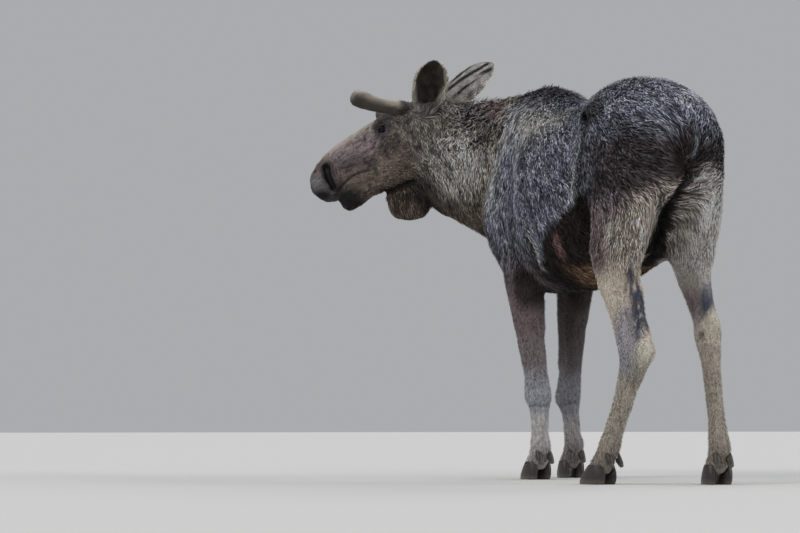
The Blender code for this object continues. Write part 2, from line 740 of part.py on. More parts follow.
def main():
    for thing in list(bpy.data.objects):
        bpy.data.objects.remove(thing)
    coat = material("coat", (0.17, 0.16, 0.155), 0.9)
    velvet = material("velvet", (0.26, 0.22, 0.18), 0.95)
    eye = material("eye", (0.015, 0.012, 0.010), 0.08)
    horn = material("horn", (0.035, 0.030, 0.027), 0.45)

    masses = trunk_masses() + neck_masses() + head_masses()
    for leg in LEG_JOINTS:
        masses += limb_masses(leg)
    for side in (-1, 1):
        masses += shoulder_masses(side) + haunch_masses(side)
    body = fuse(masses)
    thinned(body)
    whole = finished("whole", copied(body))

    def added(thing, look, meets=(whole,)):
        taken_from(thing, meets)
        thing.data.materials.clear()
        thing.data.materials.append(look)
        return thing

    # eyes sit in sockets cut from the head
    left = Vector((math.cos(HEAD_TURN), math.sin(HEAD_TURN), 0))
    for side, label in ((1, "left"), (-1, "right")):
        rest = in_head(0.283, -0.010, 0.300 * side)
        found, where, normal, _ = whole.ray_cast(rest, -left * side)
        ball = eyeball(f"eye_{label}", where - normal * 0.0160)
        ball.data.materials.append(eye)
        cutter = grown(ball, GAP)
        boolean(body, cutter, "DIFFERENCE")
        remove(cutter)

    pieces = part_flesh(body)
    named = {
        "trunk": (0, 0, 1.70),
        "neck": (0.12, -0.955, 1.85),
        "head": in_head(0.45, 0.08),
        "bell": in_head(0.363, -0.40),
        **{leg: joints[2] for leg, joints in LEG_JOINTS.items()},
    }
    for name, point in named.items():
        piece = nearest(pieces, point)
        pieces.remove(piece)
        piece.name = piece.data.name = name
        piece.data.materials.append(coat)
    remove(*pieces)

    level = Vector((math.sin(HEAD_TURN), -math.cos(HEAD_TURN), 0))
    up = Vector((0, 0, 1))
    root = in_head(0.050, -0.020, 0.080)
    tip = root + up * 0.218 + left * 0.070 - level * 0.072
    added(ear("ear_left", root - up * 0.02, tip, (0.22, 1.0, -0.1)), coat)
    root = in_head(0.020, -0.005, -0.078)
    tip = root + up * 0.200 - left * 0.050 - level * 0.268
    added(ear("ear_right", root + level * 0.02, tip, -left - up * 0.45), coat)
    for side, label, tip in ((1, "left", (0.308, 0.184)), (-1, "right", (0.330, 0.165))):
        base = in_head(0.150, 0.027, 0.070 * side)
        added(antler_bud(f"antler_{label}", base, in_head(*tip, 0.225 * side)), velvet)
    tail = [
        (0, 0.735, 1.500, 0.028, 0.026, 0.036),
        (0, 0.782, 1.465, 0.032, 0.030, 0.042),
        (0, 0.800, 1.410, 0.030, 0.028, 0.040),
        (0, 0.800, 1.362, 0.020, 0.020, 0.026),
    ]
    added(sweep("tail", tail, (0, 1, 0.3), steps=2, points=12), coat)

    for leg in LEG_JOINTS:
        place = leg.replace("leg", "")
        facing = Vector(TOES_POINT[leg])
        for side, label in ((1, "left"), (-1, "right")):
            added(claw(f"hoof_{place}_{label}", Vector(LEG_JOINTS[leg][4]), facing, side), horn)
            added(dewclaw(f"dewclaw_{place}_{label}", leg, side), horn)
    remove(whole)
    stand_on_origin()


def copied(thing):
    mesh = bmesh.new()
    mesh.from_mesh(thing.data)
    return mesh


def stand_on_origin():
    """Moves everything so that the middle of the bounding box is over the origin."""
    things = [thing for thing in bpy.data.objects if thing.type == "MESH"]
    corners = np.array([v.co[:] for thing in things for v in thing.data.vertices])
    low, high = corners.min(axis=0), corners.max(axis=0)
    shift = Vector((-(low[0] + high[0]) / 2, -(low[1] + high[1]) / 2, -low[2]))
    for thing in things:
        thing.data.transform(Matrix.Translation(shift))


main()
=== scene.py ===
"""The looks of a standing moose: one skin with its folds and lids, a coat of tufts, eyes, velvet and horn."""

import math

import bmesh
import bpy
import numpy as np
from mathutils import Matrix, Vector
from mathutils.bvhtree import BVHTree


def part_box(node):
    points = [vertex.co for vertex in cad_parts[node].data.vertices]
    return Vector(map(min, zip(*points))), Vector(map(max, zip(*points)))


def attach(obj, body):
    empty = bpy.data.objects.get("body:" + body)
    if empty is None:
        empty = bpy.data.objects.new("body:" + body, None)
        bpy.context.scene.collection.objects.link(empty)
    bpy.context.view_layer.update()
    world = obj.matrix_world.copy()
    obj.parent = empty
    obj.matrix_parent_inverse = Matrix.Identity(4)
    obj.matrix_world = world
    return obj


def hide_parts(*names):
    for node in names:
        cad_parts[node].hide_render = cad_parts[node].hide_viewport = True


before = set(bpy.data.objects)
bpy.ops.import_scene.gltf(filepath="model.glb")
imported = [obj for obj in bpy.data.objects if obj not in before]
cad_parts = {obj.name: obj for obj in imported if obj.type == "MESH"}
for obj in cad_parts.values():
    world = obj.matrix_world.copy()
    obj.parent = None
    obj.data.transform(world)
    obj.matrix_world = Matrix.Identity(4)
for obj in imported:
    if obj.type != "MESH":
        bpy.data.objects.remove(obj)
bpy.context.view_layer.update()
RNG = np.random.default_rng(7)

# ---------------------------------------------------------------- where things are, in metres

SHIFT = np.array((-0.2805, 0.3891, 0.0))  # from the coordinates that the solids were drawn in
SPINE_X = SHIFT[0]  # the middle plane of the trunk

HEAD_TURN = math.radians(50)
HEAD_DROP = math.radians(30)
POLL = SHIFT + (0.331, -1.156, 1.842)
LEVEL = np.array((math.sin(HEAD_TURN), -math.cos(HEAD_TURN), 0))
UPWARD = np.array((0.0, 0.0, 1.0))
TO_NOSE = LEVEL * math.cos(HEAD_DROP) - UPWARD * math.sin(HEAD_DROP)
HEAD_UP = LEVEL * math.sin(HEAD_DROP) + UPWARD * math.cos(HEAD_DROP)
HEAD_LEFT = np.array((math.cos(HEAD_TURN), math.sin(HEAD_TURN), 0))

# hip or shoulder, stifle or elbow, hock or knee, fetlock, and the coronet's middle
LEG_JOINTS = {
    "foreleg_left": [
        (0.18, -0.745, 1.24), (0.175, -0.47, 0.985), (0.15, -0.366, 0.368),
        (0.144, -0.362, 0.15), (0.144, -0.398, 0.07),
    ],
    "foreleg_right": [
        (-0.175, -0.8, 1.24), (-0.17, -0.62, 0.985), (-0.147, -0.668, 0.368),
        (-0.142, -0.6, 0.15), (-0.142, -0.635, 0.07),
    ],
    "hindleg_left": [
        (0.165, 0.55, 1.38), (0.2, 0.45, 0.96), (0.186, 0.66, 0.525),
        (0.238, 0.5, 0.15), (0.25, 0.46, 0.07),
    ],
    "hindleg_right": [
        (-0.165, 0.55, 1.38), (-0.2, 0.405, 0.98), (-0.182, 0.605, 0.64),
        (-0.186, 0.688, 0.15), (-0.188, 0.662, 0.07),
    ],
}
LEG_JOINTS = {leg: np.array(joints) + SHIFT for leg, joints in LEG_JOINTS.items()}
TOES_POINT = {
    "foreleg_left": (0.12, -1, 0),
    "foreleg_right": (-0.12, -1, 0),
    "hindleg_left": (0.42, -1, 0),
    "hindleg_right": (-0.14, -1, 0),
}
LEGS = list(LEG_JOINTS)
FLESH = ["trunk", "neck", "head", "bell", "tail", *LEGS]

EYE_RADIUS = 0.0212
SIDES = (("left", 1), ("right", -1))
EYES = {side: np.array(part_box(f"eye_{label}")).sum(axis=0) / 2 for label, side in SIDES}

GROWN = 0.0012  # what the solids of flesh grow by, so that the 0.5 mm cuts between them close
SKIN_VOXEL = 0.01
BLEND = 0.045  # over this distance one part of the body passes into the next
SOLE = 0.012  # the skin stays above this height
HOOF_TOP = 0.075  # no hair grows below this height
SHORT_HAIR = 0.026
CURLY = 0.12
FILL = 0.6  # of its length times its width that a tuft covers
LID = 0.0028  # the lids' thickness, from the ball to their outside
LID_SLANT = 0.22  # the opening's front corner is lower


def in_head(points):
    """Distances from the poll: towards the nose, upwards, and to the head's left."""
    away = points - POLL
    return away @ TO_NOSE, away @ HEAD_UP, away @ HEAD_LEFT


def in_profile(points):
    """Distances from the poll, towards the nose and upwards, as flat points."""
    return np.stack(in_head(points)[:2], axis=1)


def from_eyes(points, below=0.0):
    """Distance from the nearer eye's centre, or from a place below it."""
    return np.minimum(*[distance_to(points - centre + below * UPWARD, 0) for centre in EYES.values()])


# ---------------------------------------------------------------- arrays


def unit(vectors):
    return vectors / np.maximum(np.linalg.norm(vectors, axis=-1, keepdims=True), 1e-9)


def distance_to(points, place):
    """How far each point is from one place."""
    return np.linalg.norm(points - place, axis=1)


def flattened(vectors, normals):
    """Unit vectors along the surface, without what the vectors have along its normals."""
    return unit(vectors - normals * np.sum(vectors * normals, axis=1, keepdims=True))


def ramp(value, start, end):
    """0 at start, 1 at end, and smooth between. It may fall as well as rise."""
    t = np.clip((value - start) / (end - start), 0, 1)
    return t * t * (3 - 2 * t)


def blob(points, centre, radii):
    """1 inside an ellipsoid, fading to 0 by half as far again."""
    return ramp(np.linalg.norm((points - np.array(centre)) / np.array(radii), axis=1), 1.35, 0.65)


def mirrored(points):
    """The points with those on the animal's right folded over to its left."""
    folded = points.copy()
    folded[:, 0] = SPINE_X + np.abs(points[:, 0] - SPINE_X)
    return folded


def from_line(points, line):
    """Distance to a line of straight runs, and the place along it from 0 to 1."""
    line = np.array(line, float)
    runs = np.linalg.norm(np.diff(line, axis=0), axis=1)
    starts = np.concatenate([[0], np.cumsum(runs)])
    best, place = np.full(len(points), 9.0), np.zeros(len(points))
    for a, b, run, start in zip(line, line[1:], runs, starts):
        t = np.clip((points - a) @ (b - a) / run**2, 0, 1)
        distance = np.linalg.norm(points - (a + t[:, None] * (b - a)), axis=1)
        nearer = distance < best
        best[nearer], place[nearer] = distance[nearer], (start + t * run)[nearer] / starts[-1]
    return best, place


def near_line(points, line, reach):
    """1 on the line, fading over that reach, and fading out towards its two ends."""
    distance, place = from_line(points, line)
    fading = np.sin(np.pi * np.clip(place, 0.02, 0.98)) ** 0.5
    return np.exp(-((distance / reach) ** 2)) * (0.35 + 0.65 * fading)


def noise(points, size, seed=0):
    """Smooth noise from -1 to 1, with lumps of about that size."""
    at = points / size + seed * 17.31 + 400
    cell = np.floor(at).astype(np.int64)
    t = at - cell
    t = t * t * (3 - 2 * t)
    total = np.zeros(len(points))
    for corner in np.ndindex(2, 2, 2):
        key = (cell + corner) @ np.array([73856093, 19349663, 83492791])
        key = ((key ^ (key >> 13)) * 1274126177) & 0x7FFFFFFF
        value = ((key ^ (key >> 15)) & 0xFFFF) / 32767.5 - 1
        total += value * np.prod(np.where(corner, t, 1 - t), axis=1)
    return total


def read(items, name, width, kind=np.float32):
    values = np.empty(len(items) * width, kind)
    items.foreach_get(name, values)
    return values.reshape(-1, width)


class Surface:
    """An object's mesh as arrays of points, edges and triangles."""

    def __init__(self, thing):
        mesh = thing.data
        mesh.calc_loop_triangles()
        self.thing = thing
        self.points = read(mesh.vertices, "co", 3).astype(float)
        self.edges = read(mesh.edges, "vertices", 2, np.int32)
        self.triangles = read(mesh.loop_triangles, "vertices", 3, np.int32)
        count = len(self.points)
        self.valence = np.bincount(self.edges.ravel(), minlength=count)[:, None]

    def normals(self):
        a, b, c = (self.points[ends] for ends in self.triangles.T)
        faces = np.cross(b - a, c - a)
        count = len(self.points)
        total = [sum(np.bincount(ends, face, count) for ends in self.triangles.T) for face in faces.T]
        return unit(np.stack(total, axis=1))

    def around(self, values):
        """The mean of the neighbours' values at each point."""
        columns = values.reshape(len(values), -1)
        a, b = self.edges.T
        count = len(values)
        sums = [np.bincount(a, col[b], count) + np.bincount(b, col[a], count) for col in columns.T]
        return (np.stack(sums, axis=1) / np.maximum(self.valence, 1)).reshape(values.shape)

    def smoothed(self, values, times):
        for _ in range(times):
            values = 0.5 * values + 0.5 * self.around(values)
        return values

    def relax(self, times):
        """Smooths the shape without shrinking it."""
        for _ in range(times):
            for amount in (0.5, -0.52):
                self.points += amount * (self.around(self.points) - self.points)

    def write(self):
        self.thing.data.vertices.foreach_set("co", self.points.astype(np.float32).ravel())
        self.thing.data.update()


def in_scene(name, data):
    """A new object with that mesh, lamp or camera, in the scene."""
    thing = bpy.data.objects.new(name, data)
    bpy.context.scene.collection.objects.link(thing)
    return thing


def new_object(name, mesh, material, slot, *replaced):
    """An object that rides on the animal's one body, with its finish and what it stands for."""
    thing = in_scene(name, mesh)
    mesh.materials.append(material)
    mesh.shade_smooth()
    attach(thing, "root")
    if replaced:
        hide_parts(*replaced)
    return thing


def mesh_of(name, points, triangles, colours=None, places=None):
    """A mesh of triangles, with a colour at each point and a place on the bake map at each corner."""
    mesh = bpy.data.meshes.new(name)
    mesh.vertices.add(len(points))
    mesh.vertices.foreach_set("co", np.asarray(points, np.float32).ravel())
    mesh.loops.add(len(triangles) * 3)
    mesh.loops.foreach_set("vertex_index", np.asarray(triangles, np.int32).ravel())
    mesh.polygons.add(len(triangles))
    mesh.polygons.foreach_set("loop_start", np.arange(0, len(triangles) * 3, 3, dtype=np.int32))
    mesh.update(calc_edges=True)
    if colours is not None:
        tint(mesh, colours)
    if places is not None:
        layer = mesh.uv_layers.new(name="OFBake")
        layer.data.foreach_set("uv", np.asarray(places, np.float32).ravel())
    return mesh


def tint(mesh, colours):
    """Stores a colour at each point, for the materials to read."""
    layer = mesh.color_attributes.new(name="tint", type="FLOAT_COLOR", domain="POINT")
    full = np.ones((len(colours), 4), np.float32)
    full[:, :3] = colours
    layer.data.foreach_set("color", full.ravel())


# ---------------------------------------------------------------- colours


def colour(*levels):
    """A screen colour, 0 to 255, as the linear colour that the shader wants."""
    part = np.array(levels) / 255
    return np.where(part < 0.04045, part / 12.92, ((part + 0.055) / 1.055) ** 2.4)


BLACK = colour(20, 17, 17)
ROOT = colour(38, 34, 35)
CHARCOAL = colour(64, 57, 58)
BLUE_GREY = colour(100, 102, 116)
SILVER = colour(156, 159, 173)
STRAW = colour(224, 221, 212)
BROWN = colour(98, 86, 76)
WARM_BLACK = colour(34, 27, 22)
OLIVE = colour(184, 178, 168)
MOULT = colour(128, 112, 104)
FACE = colour(148, 134, 134)
FACE_BROWN = colour(126, 112, 103)
# painted highlight: the pale top of the nose, as lit from above
NOSE_TOP_HIGHLIGHT = colour(204, 192, 174)
MUZZLE = colour(138, 136, 139)
EYE_SKIN = colour(100, 92, 96)
VIOLET = colour(122, 106, 108)
BEIGE = colour(212, 198, 184)
CREAM = colour(246, 240, 232)
PALE = colour(206, 202, 198)
BUFF = colour(214, 198, 168)
TAN = colour(136, 108, 84)
PINK = colour(146, 114, 112)
BLUE_BLACK = colour(74, 78, 94)
VELVET = colour(160, 150, 140)
# painted shade on the velvet's undersides
VELVET_PAINTED_SHADE = colour(72, 64, 58)
EAR_INSIDE = colour(46, 38, 30)
HAIR_PALE = colour(206, 198, 182)


def paint(base, mask, new):
    """base with new laid over it where the mask is 1."""
    mask = np.clip(mask, 0, 1)[:, None]
    return base * (1 - mask) + new * mask


def draw(base, points, strokes):
    """base with soft lines laid over it, each given as its strength, line, reach and colour."""
    for strength, line, reach, new in strokes:
        base = paint(base, strength * near_line(points, line, reach), new)
    return base


def mark_head(points, base):
    """The face, from the painted highlight along the top of the nose to the dark lips, lids and jaw."""
    a, b, side = in_head(points)
    flat = in_profile(points)
    out = paint(base, ramp(a + 0.02 * noise(points, 0.04, 20), 0.12, 0.27), FACE_BROWN)
    out = paint(out, blob(flat, (0.46, 0.0), (0.22, 0.085)), FACE)
    out = paint(out, 0.6 * noise(points, 0.045, 21) + 0.75 * noise(points, 0.016, 26) + 0.13, CHARCOAL)
    # painted highlight: the top of the nose and its bridge paler, as lit from above
    out = paint(out, 0.35 * ramp(b, 0.02, 0.07) * ramp(a, 0.2, 0.32), NOSE_TOP_HIGHLIGHT)
    bridge = ramp(np.abs(side), 0.046, 0.02) * ramp(b, 0.0, 0.03)
    out = paint(out, 0.6 * bridge * ramp(a, 0.22, 0.32), NOSE_TOP_HIGHLIGHT)
    # painted shade: a charcoal band down the side of the muzzle, below the nose's bridge
    cheek_shade = [(0.62, -0.03), (0.55, -0.04), (0.47, -0.06), (0.42, -0.1)]
    out = paint(out, 0.6 * near_line(flat, cheek_shade, 0.03), CHARCOAL)
    out = paint(out, 0.5 * ramp(b, -0.19, -0.25) * ramp(a, 0.6, 0.5) * ramp(a, 0.25, 0.35), BROWN)
    # painted shade: a dark band running down from the eye
    under_eye_shade = [(0.335, -0.04), (0.325, -0.085), (0.33, -0.13)]
    out = paint(out, 0.5 * near_line(flat, under_eye_shade, 0.022), EYE_SKIN * 0.4)
    out = paint(out, 0.9 * ramp(a, 0.655, 0.685) * ramp(b, -0.005, -0.035), MUZZLE)
    out = paint(out, 0.6 * ramp(a, 0.735, 0.755), CHARCOAL)
    upper_lip = (1.1, [(0.755, -0.08), (0.73, -0.112), (0.68, -0.14)], 0.034, BLACK)
    lower_lip = (1.2, [(0.7, -0.175), (0.66, -0.19), (0.58, -0.185)], 0.04, BLACK)
    out = draw(out, flat, [upper_lip, lower_lip])
    out = paint(out, 0.9 * ramp(a, 0.54, 0.6) * ramp(b, -0.155, -0.185), BLACK)
    distance, place = from_line(flat, NOSTRIL)
    distance = distance + 0.005 * noise(points, 0.012, 35)
    # painted shade: a soft charcoal halo round the nostril and black in its hole
    out = paint(out, 0.4 * ramp(distance, 0.075, 0.03) * ramp(b, -0.16, -0.1), CHARCOAL * 0.8)
    out = paint(out, 1.1 * ramp(distance, 0.048 - 0.022 * place, 0.01), BLACK * 0.7)
    distance, _ = from_line(flat, MOUTH)
    out = paint(out, 0.6 * ramp(distance, 0.011, 0.003) * ramp(a, 0.43, 0.47), BLACK)
    # painted shade: black lines in the folds of the cheek and at the mouth's corner
    cheek_fold_shade = (0.5, [(0.475, -0.088), (0.52, -0.07), (0.575, -0.058)], 0.013, BLACK)
    mouth_corner_shade = (0.4, [(0.45, -0.13), (0.43, -0.15), (0.425, -0.175)], 0.012, BLACK)
    out = draw(out, flat, [cheek_fold_shade, mouth_corner_shade])
    away = from_eyes(points, 0.006)
    out = paint(out, 0.85 * ramp(away + 0.006 * noise(points, 0.02, 22), 0.06, 0.04), EYE_SKIN)
    # painted shade: black in the concentric wrinkles round the eye
    lid_fold_shade = 0.5 + 0.5 * np.cos(2 * np.pi * away / 0.0125)
    out = paint(out, 0.45 * lid_fold_shade**2 * ramp(away, 0.05, 0.044), BLACK)
    # painted shade: black in and round each eye's opening and along the crease above the upper lid
    for eye in EYES:
        _, _, ring = eye_opening(points, eye)
        near = ramp(distance_to(points, EYES[eye]), 0.04, 0.034)
        crease = np.exp(-(((ring - 2.5) / 0.35) ** 2)) * ramp(b, -0.03, -0.005)
        out = paint(out, near * np.maximum(0.95 * ramp(ring, 1.6, 1.2), 0.7 * crease), BLACK)
    # painted highlight: a pale line along the top of the face
    out = paint(out, 0.5 * near_line(flat, [(0.27, 0.045), (0.315, 0.045), (0.355, 0.025)], 0.01), NOSE_TOP_HIGHLIGHT)
    out = paint(out, 0.5 * blob(flat, (0.235, 0.055), (0.06, 0.03)), colour(176, 168, 166))
    return paint(out, 0.7 * blob(flat, (0.15, 0.015), (0.03, 0.025)), ROOT)


def mark_neck(points, base):
    """Grizzled pale sides, a dark curly mane, and the pinkish matted moult behind it."""
    along = (points - POLL) @ unit(np.array((-0.42, 0.75, -0.1)))
    height = points[:, 2] + 0.2 * np.abs(points[:, 0] - SPINE_X)
    out = paint(base, np.ones(len(points)), OLIVE)
    out = paint(out, 0.9 * ramp(points[:, 2], 1.48, 1.28), BROWN)
    out = paint(out, 0.8 * blob(points, (0.05, -0.78, 1.34), (0.18, 0.18, 0.12)), BROWN * 0.6)
    out = paint(out, 0.7 * blob(points, (-0.066, -0.45, 1.66), (0.12, 0.12, 0.1)), CHARCOAL)
    out = paint(out, 0.35 * ramp(height, 1.58, 1.68), BROWN)
    out = paint(out, 0.5 * blob(points, (0.04, -0.6, 1.52), (0.16, 0.2, 0.15)), colour(206, 202, 196))
    out = paint(out, 0.9 * ramp(height, 1.68, 1.8) * ramp(along, 0.08, 0.2), colour(92, 87, 90))
    return paint(out, 0.75 * blob(points, (-0.16, -0.36, 1.8), (0.16, 0.16, 0.09)), MOULT)


def mark_trunk(points, base):
    """Silver and blue-grey over near-black, charcoal on the haunch, and painted shade: dark in the flank and
    armpit, along the haunch's crease, beside the tail and in the cleft.
    """
    folded = mirrored(points)
    _, y, z = folded.T
    out = paint(base, np.ones(len(points)), BLUE_GREY)
    out = paint(out, 0.5 + 0.5 * noise(points, 0.1, 1), SILVER)
    out = paint(out, 0.85 * ramp(z, 1.7, 1.8) * ramp(y, 0.22, 0.05), CHARCOAL)
    shoulder = [(-0.17, -0.33, 1.78), (-0.1, -0.27, 1.64), (-0.07, -0.29, 1.45), (-0.03, -0.26, 1.3)]
    back = [(-0.1, -0.12, 1.66), (-0.09, 0.13, 1.62), (-0.12, 0.3, 1.64)]
    ribs = [(-0.06, 0.14, 1.52), (-0.05, 0.34, 1.5), (-0.07, 0.52, 1.56)]
    pale = [(0.6, shoulder, 0.05, STRAW), (0.8, back, 0.09, STRAW * 1.15), (0.5, ribs, 0.09, SILVER)]
    out = draw(out, folded, pale)
    out = paint(out, 0.9 * ramp(z, 1.54, 1.66) * ramp(y, 0.45, 0.7), SILVER * 1.1)
    out = paint(out, 0.3 * ramp(y, 0.1, -0.1) * ramp(z, 1.2, 1.35) * ramp(z, 1.66, 1.56), SILVER * 1.1)
    low = z + 0.04 * noise(folded, 0.07, 27)
    out = paint(out, 0.95 * ramp(low, 1.55, 1.42) * ramp(low, 1.15, 1.25) * ramp(y, 0.62, 0.82), CHARCOAL)
    out = paint(out, 0.8 * blob(folded, (-0.07, 0.74, 1.6), (0.08, 0.07, 0.07)), CHARCOAL)
    out = paint(out, 0.8 * ramp(low, 1.28, 1.16) * ramp(y, 0.66, 0.8), VIOLET)
    patchy = 0.8 + 0.45 * noise(folded, 0.06, 37)
    out = paint(out, patchy * blob(folded, (-0.18, 1.11, 1.045), (0.2, 0.18, 0.19)), BEIGE)
    # cream: pale hair, laid on the right thigh only, so partly painted light on the side where the light
    # falls
    right = ramp(points[:, 0], SPINE_X - 0.045, SPINE_X - 0.11)
    out = paint(out, 0.95 * right * ramp(low, 1.38, 1.24) * ramp(y, 0.9, 1.02), CREAM)
    # painted shadow: black along the haunch's front crease and in the band behind it
    haunch_shadow = [(-0.03, 0.68, 1.28), (-0.03, 0.7, 1.18), (-0.03, 0.75, 1.05)]
    out = draw(out, folded, [(0.9, HAUNCH_EDGE + (0, 0.01, 0), 0.018, BLACK), (0.9, haunch_shadow, 0.04, BLACK)])
    # painted shade: brown-black in the flank's hollow
    out = paint(out, shaded_flank(folded), WARM_BLACK)
    out = paint(out, near_line(folded, HAUNCH_EDGE[1:6] - (0, 0.03, 0), 0.011), STRAW)
    out = paint(out, 0.95 * ramp(z, 1.0, 0.9) * ramp(y, 0.74, 0.67), WARM_BLACK)
    tan = ramp(z, 0.99, 0.92) * ramp(y, 0.26, 0.42) * ramp(y, 0.76, 0.7)
    out = paint(out, tan * (0.8 + 0.4 * noise(points, 0.03, 23)), TAN)
    out = paint(out, ramp(y, 0.66, 0.76) * ramp(z, 1.02, 0.96), BUFF * 0.7)
    # painted shade: black in the armpit
    out = paint(out, 0.95 * blob(folded, (-0.12, 0.13, 0.9), (0.12, 0.17, 0.12)), BLACK)
    out = paint(out, 0.55 * blob(folded, (-0.034, 0.398, 1.04), (0.05, 0.034, 0.066)), PINK)
    out = paint(out, 0.6 * ramp(z, 1.24, 1.02) * ramp(y, 0.25, 0.14), CHARCOAL)
    out = paint(out, 0.65 * near_line(folded, ELBOW_FOLD + (0, -0.02, 0.02), 0.01), STRAW)
    # painted shadow: near-black beside and under the tail
    out = paint(out, 0.8 * blob(folded, (-0.25, 1.18, 1.36), (0.07, 0.09, 0.12)), WARM_BLACK)
    # painted shade: black in the cleft between the thighs
    return paint(out, cleft_shade(folded), BLACK)


def shaded_flank(folded):
    """1 in the hollow between the elbow's fold and the haunch, which is painted brown-black as shade."""
    _, y, z = folded.T
    along = [0.16, 0.24, 0.29, 0.417, 0.476, 0.576, 0.66]
    top = np.interp(y, along, [0.95, 1.04, 1.1, 1.165, 1.199, 1.234, 1.26])
    edge = z - top + 0.02 * noise(folded, 0.04, 24)
    return ramp(edge, 0.02, -0.03) * ramp(y, 0.17, 0.22) * ramp(y, 0.73, 0.67)


def cleft_shade(folded):
    """1 in the cleft that runs from under the tail down between the thighs, which is painted dark as shade.
    """
    flat = folded * (0, 1, 1)
    away, place = from_line(flat, CLEFT * (0, 1, 1))
    width = np.interp(place, [0, 0.25, 0.5, 0.75, 1], [0.026, 0.013, 0.01, 0.024, 0.055])
    return 0.97 * ramp((folded[:, 0] - SPINE_X) / width, 1.35, 0.75) * ramp(away, 0.15, 0.09)


def mark_foreleg(points, leg, base):
    """Violet-brown forearms that pale to a blue-grey knee and a beige cannon."""
    z = points[:, 2] + 0.03 * noise(points, 0.05, 25)
    out = paint(base, ramp(z, 1.1, 0.86), colour(120, 109, 113))
    out = paint(out, 0.8 * ramp(z, 0.96, 0.8), colour(124, 107, 108))
    out = paint(out, 0.5 * ramp(z, 0.74, 0.58), colour(140, 134, 136))
    out = paint(out, ramp(z, 0.56, 0.4), colour(170, 172, 180))
    out = paint(out, ramp(z, 0.34, 0.26), colour(200, 196, 196))
    bone, turn, _ = bone_places(points, leg)
    out = paint(out, 0.5 * np.exp(-(((bone - 2.14) / 0.025) ** 2)), CHARCOAL)
    out = paint(out, 0.35 * ramp(turn, 50, 15) * ramp(z, 0.6, 0.45), PALE)
    # painted shade: the far, right foreleg darker all over, as in shadow
    if leg.endswith("right"):
        out = paint(out, 0.55 * ramp(z, 0.42, 0.7), WARM_BLACK)
        out = paint(out, 0.42 * np.ones(len(points)), CHARCOAL)
    out = paint(out, 0.3 * ramp(z, 0.22, 0.1), BROWN)
    # painted shade: near-black behind the elbow, where the leg meets the chest
    elbow = LEG_JOINTS[leg][1] + (0, 0.08, -0.1)
    return paint(out, 0.9 * blob(points, elbow, (0.1, 0.05, 0.12)), WARM_BLACK)


def mark_hindleg(points, leg, base):
    """Pale beige with violet-brown at the stifle, blue-black streaks down the shank and buff hocks."""
    z = points[:, 2]
    joints = LEG_JOINTS[leg]
    left = leg.endswith("left")
    facing = unit(np.array(TOES_POINT[leg], float))
    outward = np.array((1.0 if left else -1.0, 0, 0))
    rear = -facing
    out = paint(base, ramp(z, 1.18, 1.06), BEIGE)
    stifle = joints[1] + outward * 0.06 + facing * 0.02 + UPWARD * 0.05
    out = paint(out, 0.85 * blob(points, stifle, (0.11, 0.13, 0.13)), VIOLET)
    out = paint(out, 0.8 * ramp(z, 0.75, 0.45), colour(166, 158, 146))
    bone, turn, _ = bone_places(points, leg)
    out = paint(out, 0.6 * ramp(turn, 60, 20) * ramp(bone, 0.9, 1.2), colour(222, 212, 198))
    shin = joints[2] + facing * 0.02 + outward * 0.02 + UPWARD * 0.07
    out = paint(out, 0.6 * blob(points, shin, (0.08, 0.08, 0.15)), colour(132, 138, 156))
    if not left:
        inner = ramp(points[:, 0], -0.455, -0.425)
        out = paint(out, 0.8 * inner * ramp(z, 0.64, 0.76) * ramp(z, 1.1, 0.98), VIOLET * 1.15)
    for line in SHANK_STREAKS[left]:
        distance, place = from_line(points, line)
        width = 0.004 + 0.018 * np.sin(np.pi * np.clip(place, 0, 1)) ** 0.7
        width = width * (1 + 0.8 * noise(points * (1, 1, 0.25), 0.01, 5))
        # blue-black streaks, painted lighter on the right shank as painted highlight
        out = paint(out, 0.95 * ramp(distance / width, 1.8, 0.3), BLUE_BLACK * (0.8 if left else 1.3))
    cap = joints[2] + rear * 0.075 + UPWARD * 0.02
    ragged = 1 + 0.35 * noise(points, 0.022, 36)
    out = paint(out, 0.85 * ragged * blob(points, cap, (0.062, 0.055, 0.072)), colour(218, 210, 194))
    # the right thigh's outer side cream: pale hair, laid on the right only, so partly painted light where the
    # light falls
    if not left:
        out = paint(out, 0.8 * ramp(points[:, 0], -0.345, -0.4) * ramp(z, 0.75, 0.95), CREAM)
        out = paint(out, 0.6 * blob(points, (-0.413, 1.026, 0.625), (0.012, 0.016, 0.018)), WARM_BLACK)
    out = paint(out, 0.3 * ramp(z, 0.26, 0.12), BROWN)
    # painted shade: black in the cleft between the thighs
    return paint(out, cleft_shade(mirrored(points)), BLACK)


